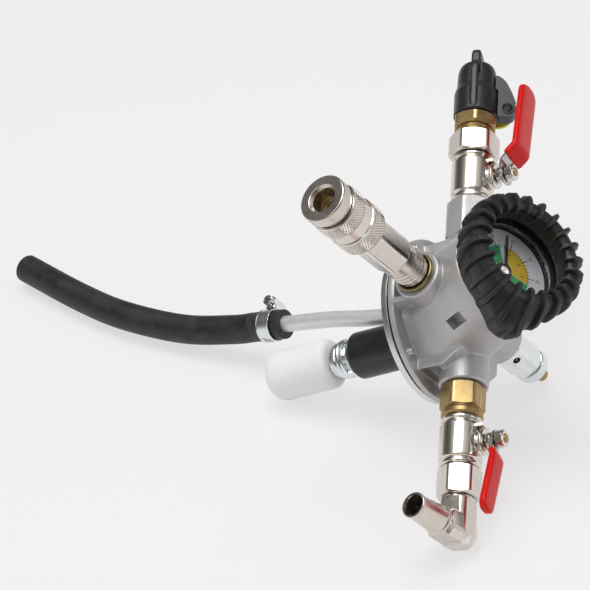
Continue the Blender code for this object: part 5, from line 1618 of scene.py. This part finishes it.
@dataclass
class SuctionLine:
    """Dip tube, its hose with a clamp, and the hose's free run."""

    tube_radius: float = 4.0
    tube_bore: float = 2.9
    hose_radius: float = 7.3
    hose_bore: float = 4.0
    cuff_length: float = 18.0
    band: Pair = (5.0, 12.4)
    band_slots: int = 9
    slot_start: float = 100.0
    slot_step: float = 11.0
    screw_reach: float = 10.6
    cuff_start: Point = (-21.0, 0.0, -82.0)
    cuff_direction: Point = (-0.152, 0.0, -0.988)
    exit: Point = (-23.8, 0.0, -100.1)
    hose_knots: tuple[Point, ...] = ((-23.8, 0.0, -100.1), (-25.7, -0.3, -114.0), (-31.0, -4.8, -142.5),
                                     (-43.5, -12.4, -176.0), (-59.5, -16.6, -204.0), (-83.9, -20.4, -240.0))
    tube_knots: tuple[Point, ...] = ((-10, 0, 12), (-10, 0, -6), (-10, 0, -20), (-12.6, 0, -36),
                                     (-16.8, 0, -55), (-21, 0, -82), (-23.28, 0, -96.8))

    def along(self, route: Route, radius: float, bore: float, lip: float) -> list[Pair]:
        """Return the rows of a tube with a rounded lip at both ends."""
        last = route.length
        middle = [s for s in route.stations if 2 * lip < s < last - 2 * lip]
        rows = [(bore, last - lip), (bore + lip, last), (radius - lip, last),
                (radius - 0.3 * lip, last - 0.3 * lip), (radius, last - lip)]
        rows += [(radius, s) for s in reversed(middle)]
        rows += [(radius, lip), (radius - 0.3 * lip, 0.3 * lip), (radius - lip, 0), (bore + lip, 0),
                 (bore, lip)]
        return rows + [(bore, s) for s in middle]

    def build(self, bench: Bench) -> None:
        """Make the tube, the cuff, the free hose and the clamp."""
        tube_route = Route(self.tube_knots, 6)
        tube = skin("dip_tube_bent", self.along(tube_route, self.tube_radius, self.tube_bore, 0.2),
                    tube_route, SMALL, ring=True)
        bench.fit(tube, DRAWN, Body.HEAD, "dip_tube", crease=60.0)
        cuff_axis = Port(self.cuff_start, self.cuff_direction, (-1, 0, 0))
        cuff = skin("hose_cuff_gripped",
                    eased([(4.3, self.cuff_length), (7.3, self.cuff_length, 0), (7.3, 13.2, 1.0),
                           (7.05, 12.2, 1.0), (7.05, 5.2, 1.0), (7.3, 4.2, 1.0), (7.3, 0, 0.5),
                           (4.3, 0)], 0.1, ring=True), cuff_axis, 72, ring=True)
        bench.fit(cuff, HOSE_RUBBER, Body.HEAD, "hose_cuff")
        route = Route(self.hose_knots, 6)
        hose = skin("suction_hose_free", self.along(route, self.hose_radius, self.hose_bore, 0.35), route, 72,
                    ring=True)
        bench.fit(hose, HOSE_RUBBER, Body.HEAD, "suction_hose", crease=60.0)
        tuple(c * MM for c in self.exit)
        [tuple(p * MM) for p in route.points]
        self.clamp(bench, cuff_axis)

    def clamp(self, bench: Bench, axis: Port) -> None:
        """Worm-drive clamp: a slotted band, its screw housing and the screw."""
        low, high = self.band
        middle = (low + high) / 2
        turn = axis.matrix().to_3x3()
        band = skin("clamp_band_strip", eased([(7.6, high), (8.3, high), (8.1, high - 0.6), (8.1, low + 0.6),
                                               (8.3, low), (7.6, low)], 0.15, ring=True), axis, ring=True)
        slots = []
        for i in range(self.band_slots):
            place = axis.turned(self.slot_start + self.slot_step * i, middle)
            slots.append(prism("slot", place.branch((0, 0, 0), (1, 0, 0), (0, 0.45, 1)),
                               rectangle(-2.3, 2.3, -0.3, 0.3), ((7.0, 1), (9.0, 1))))
        combine(band, Combine.CUT, merged("slots", slots))
        bore_axis = axis.branch((self.screw_reach, 0, middle), (0, -1, 0), (0, 0, 1))
        housing = skin("housing", rod_rows(3.1, -4.3, 4.3, ease=0.4), bore_axis.beside(0, -0.2), SMALL)
        foot = loft("foot",
                    [oval(axis(x, 0, middle), turn @ Vector((0, 4.2, 0)), turn @ Vector((0, 0, 3.0)), 7.0)
                     for x in (7.9, 9.6)])
        combine(band, Combine.JOIN, foot, housing)
        combine(band, Combine.CUT, drill(1.7, -6, 6, bore_axis, 32))
        bench.fit(band, ZINC, Body.HEAD, "clamp_band")
        head = Hexagon(5.0, 4.7, 7.2)
        screw = skin("clamp_screw_turned", [(0, 7.2), *head.rows(), (1.4, 4.7), (1.4, -5.2), (0, -5.2)],
                     bore_axis, SMALL)
        slot = prism("slot", bore_axis, rectangle(-3.2, 3.2, -0.35, 0.35), ((6.1, 1), (9.0, 1)))
        combine(screw, Combine.CUT, slot)
        bench.fit(screw, STEEL, Body.HEAD, "clamp_screw")


@dataclass
class FloatValve:
    """Sleeve under the plate, its bush, and the float on a rod that shuts the port."""

    x: float = 7.5

    def build(self, bench: Bench) -> None:
        """Make the pieces of the float valve."""
        axis = SEAT.beside(self.x, 0)
        sleeve = skin("float_sleeve_moulded",
                      eased([(3.0, 3.0), (6.9, 3.0), (6.9, -GAP), (10.2, -GAP), (10.2, -3.2),
                             (11.2, -4.0, 0.8), (11.2, -36.2, 1.6), (10.0, -37.4, 0.8),
                             (8.0, -37.4), (8.0, -6.0), (3.0, -6.0)], 0.3, ring=True, bends=5), axis,
                      ring=True)
        vent = Port((self.x, 0, -9.0), (0.78, -0.62, 0), (0, 0, 1))
        across, up = (vent(*half) - vent(0, 0, 0) for half in ((1.6, 0, 0), (0, 0.8, 0)))
        combine(sleeve, Combine.CUT, loft("vent", [oval(vent(0, 0, z), across, up) for z in (6.0, 14.0)]))
        bench.fit(sleeve, BLACK_PLASTIC, Body.HEAD, "float_sleeve", lines=Lines.ALONG_Z)
        bush = skin("float_bush_turned",
                    [(2.4, -33.0), (7.7, -33.0), (7.7, -37.7), (9.3, -37.8), (9.5, -38.0),
                     (9.5, -38.5), (9.2, -38.8), partial(self.notch, -39.0),
                     partial(self.notch, -41.2), (9.2, -41.3), (9.5, -41.6), (9.6, -42.4),
                     (9.2, -42.8), (8.9, -43.1), (9.3, -43.6), (9.3, -44.4), (8.6, -45.0),
                     (8.2, -45.4), (8.5, -46.0), (8.5, -46.8), (8.0, -47.4), (7.9, -49.2),
                     (7.6, -49.5), (2.4, -49.5)], axis, ring=True)
        bench.fit(bush, ZINC, Body.HEAD, "float_bush")
        body = skin("float_milky",
                    eased([(2.4, -50.5), (10.4, -50.5, 1.6), (12.2, -52.6, 1.6), (12.2, -82.0, 2.0),
                           (10.0, -85.0, 1.5), (2.4, -85.0)], 0.3, ring=True, bends=6), axis, ring=True)
        bench.fit(body, MILKY, Body.FLOAT, "float", crease=60.0)
        rod = skin("float_rod_turned",
                   eased([(0, -6.4), (4.2, -6.4), (5.0, -7.2), (5.0, -9.4), (2.1, -9.8),
                          (2.1, -85.3), (4.0, -85.3), (4.0, -86.8), (0, -86.8)], 0.3), axis, SMALL)
        bench.fit(rod, STEEL, Body.FLOAT, "float_rod")

    def notch(self, height: float, angle: float) -> Pair:
        """Return the castellated ring of the bush: six lugs with gaps between them."""
        return (9.1 if math.cos(6 * angle) > 0 else 7.4), height


@dataclass(frozen=True)
class Lamp:
    """A square soft lamp: its direction in the image's axes, distance and size in metres, power in watts."""

    name: str
    direction: Point
    distance: float
    size: float
    power: float


LAMPS = (Lamp("key", (-0.22, 0.83, 0.52), 1.1, 0.8, 8.0),
         Lamp("fill", (0.85, 0.30, 0.45), 1.4, 0.7, 2.2),
         Lamp("front", (-0.55, 0.25, 0.80), 1.5, 0.7, 2.4))
SKY_TONES = ((0.0, 0.85), (0.5, 0.80), (0.58, 0.26), (0.72, 0.10), (0.84, 0.22), (0.93, 0.7), (1.0, 0.95))


@dataclass
class Studio:
    """Table, lamps, sky and the camera, all set from the photograph's viewpoint."""

    target: Point = (0.0, 0.0, PORT_HEIGHT)
    camera_offset: Point = (572.9, -887.1, 575.8)
    forward: Point = (-0.4792, 0.6981, -0.532)
    image_up: Point = (-0.8748, -0.4289, 0.2252)
    table_up: Point = (-0.455, -0.797, 0.399)
    focal_pixels: float = 2600.0
    frame_pixels: float = 590.0
    sensor: float = 36.0
    table_size: float = 6.0
    table_colour: Colour = (0.90, 0.89, 0.895)
    backdrop: Colour = (0.915, 0.900, 0.905)

    def build(self) -> None:
        """Make the studio."""
        self.camera()
        self.table()
        self.lamps()
        self.sky()

    def axes(self) -> Matrix:
        """Return the image's right, up and towards-the-camera directions as columns."""
        back = -Vector(self.forward).normalized()
        up = Vector(self.image_up)
        up = (up - up.dot(back) * back).normalized()
        return Matrix((up.cross(back), up, back)).transposed()

    def camera(self) -> None:
        """Stand the camera where the photograph was taken from."""
        data = bpy.data.cameras.new("photo_camera")
        data.sensor_width = self.sensor
        data.lens = self.sensor * self.focal_pixels / self.frame_pixels
        camera = stand("photo_camera", data)
        place = Matrix.Translation((Vector(self.target) + Vector(self.camera_offset)) * MM)
        camera.matrix_world = place @ self.axes().to_4x4()
        bpy.context.scene.camera = camera

    def table(self) -> None:
        """Lay the table under the lowest points of the visible pieces."""
        up = Vector(self.table_up).normalized()
        lowest = min(up.dot(piece.matrix_world @ vertex.co)
                     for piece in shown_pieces() if piece.type == "MESH" for vertex in piece.data.vertices)
        across = up.orthogonal().normalized()
        along = up.cross(across)
        half = self.table_size / 2
        corners = [lowest * up + half * (a * across + b * along) for a, b in ((-1, -1), (1, -1), (1, 1),
                                                                              (-1, 1))]
        mesh = bpy.data.meshes.new("table")
        mesh.from_pydata([tuple(c) for c in corners], [], [(0, 1, 2, 3)])
        floor = stand("table", mesh)
        mesh.materials.append(self.table_material())
        floor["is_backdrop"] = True

    def table_material(self) -> bpy.types.Material:
        """Return the pale paper of the table, clear from below."""
        made = bpy.data.materials.new("pale_paper")
        made.use_nodes = True
        graph = Graph(made.node_tree)
        graph.tree.nodes.remove(graph.tree.nodes["Principled BSDF"])
        vector = graph.add("TexCoord").outputs["Object"]
        fibre = graph.add("TexNoise", {"Vector": vector, "Scale": 30.0, "Detail": 3.0})
        tone = graph.mix(fibre.outputs["Fac"], (*self.table_colour, 1.0),
                         (*(0.985 * c for c in self.table_colour), 1.0))
        paper = graph.add("BsdfDiffuse", {"Color": tone})
        path = graph.add("LightPath")
        seen = graph.math("MAXIMUM", path.outputs["Is Camera Ray"], path.outputs["Is Glossy Ray"])
        seen = graph.math("MAXIMUM", seen, path.outputs["Is Transmission Ray"])
        glow = graph.add("Emission", {"Color": (*self.backdrop, 1.0), "Strength": 1.0})
        lit = graph.add("MixShader",
                        {0: graph.math("MULTIPLY", seen, 0.7), 1: paper.outputs[0], 2: glow.outputs[0]})
        clear = graph.add("BsdfTransparent")
        back = graph.add("NewGeometry").outputs["Backfacing"]
        both = graph.add("MixShader", {0: back, 1: lit.outputs[0], 2: clear.outputs[0]})
        graph.tree.links.new(both.outputs[0], graph.tree.nodes["Material Output"].inputs["Surface"])
        return made

    def lamps(self) -> None:
        """Hang soft lamps: a key box over the table, a fill at the right and a weak front light."""
        axes = self.axes()
        for given in LAMPS:
            data = bpy.data.lights.new(given.name + "_lamp", "AREA")
            data.size = given.size
            data.energy = given.power
            lamp = stand(given.name + "_lamp", data)
            offset = axes @ Vector(given.direction).normalized() * given.distance
            lamp.location = Vector(self.target) * MM + offset
            lamp.rotation_mode = "QUATERNION"
            lamp.rotation_quaternion = (-offset).to_track_quat("-Z", "Y")

    def sky(self) -> None:
        """Surround the object with a pale room that is darker high up, as its metal shows."""
        world = bpy.data.worlds.new("pale_room")
        bpy.context.scene.world = world
        world.use_nodes = True
        graph = Graph(world.node_tree)
        for node in list(graph.tree.nodes):
            graph.tree.nodes.remove(node)
        path = graph.add("LightPath")
        direction = graph.add("TexCoord").outputs["Generated"]
        up = graph.add("VectorMath", {0: direction, 1: tuple(Vector(self.table_up).normalized())},
                       operation="DOT_PRODUCT").outputs["Value"]
        ramp = graph.add("ValToRGB", {"Fac": graph.span(up, -1.0, 1.0)})
        stops = ramp.color_ramp.elements
        for place, tone in SKY_TONES:
            stop = stops.new(place)
            stop.color = (tone, tone * 0.985, tone * 0.97, 1.0)
        for unused in (stops[0], stops[-1]):
            if unused.color[0] in (0.0, 1.0):
                stops.remove(unused)
        room = graph.add("Background", {"Color": ramp.outputs["Color"], "Strength": 0.8})
        ambient = graph.add("Background", {"Color": (0.93, 0.94, 0.96, 1.0), "Strength": 0.34})
        pale = graph.add("Background", {"Color": (*self.backdrop, 1.0), "Strength": 1.0})
        glossy = graph.add("MixShader",
                           {0: path.outputs["Is Glossy Ray"], 1: ambient.outputs[0], 2: room.outputs[0]})
        seen = graph.math("MAXIMUM", path.outputs["Is Camera Ray"], path.outputs["Is Transmission Ray"])
        both = graph.add("MixShader", {0: seen, 1: glossy.outputs[0], 2: pale.outputs[0]})
        sink = graph.add("OutputWorld")
        graph.tree.links.new(both.outputs[0], sink.inputs["Surface"])


def main() -> None:
    """Build every sub-assembly, then the studio."""
    logging.basicConfig(level=logging.INFO, format="%(message)s")
    bpy.context.scene.view_settings.view_transform = "Standard"
    bench = Bench()
    for part in (SuctionLine(), HeadCasting(), TankClosure(), Gauge(), GaugeBoot(), DrainFittings(),
                 OutletFittings(), AirCoupler(), ReliefValve(), FloatValve()):
        LOG.info("building %s", type(part).__name__)
        part.build(bench)
    Studio().build()
    LOG.info("%d pieces fitted", bench.count)
    boxes = {"cad": CAD_BOX, "visual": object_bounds()}
    {name: [list(corner) for corner in box] for name, box in boxes.items()}


if __name__ == "__main__":
    main()
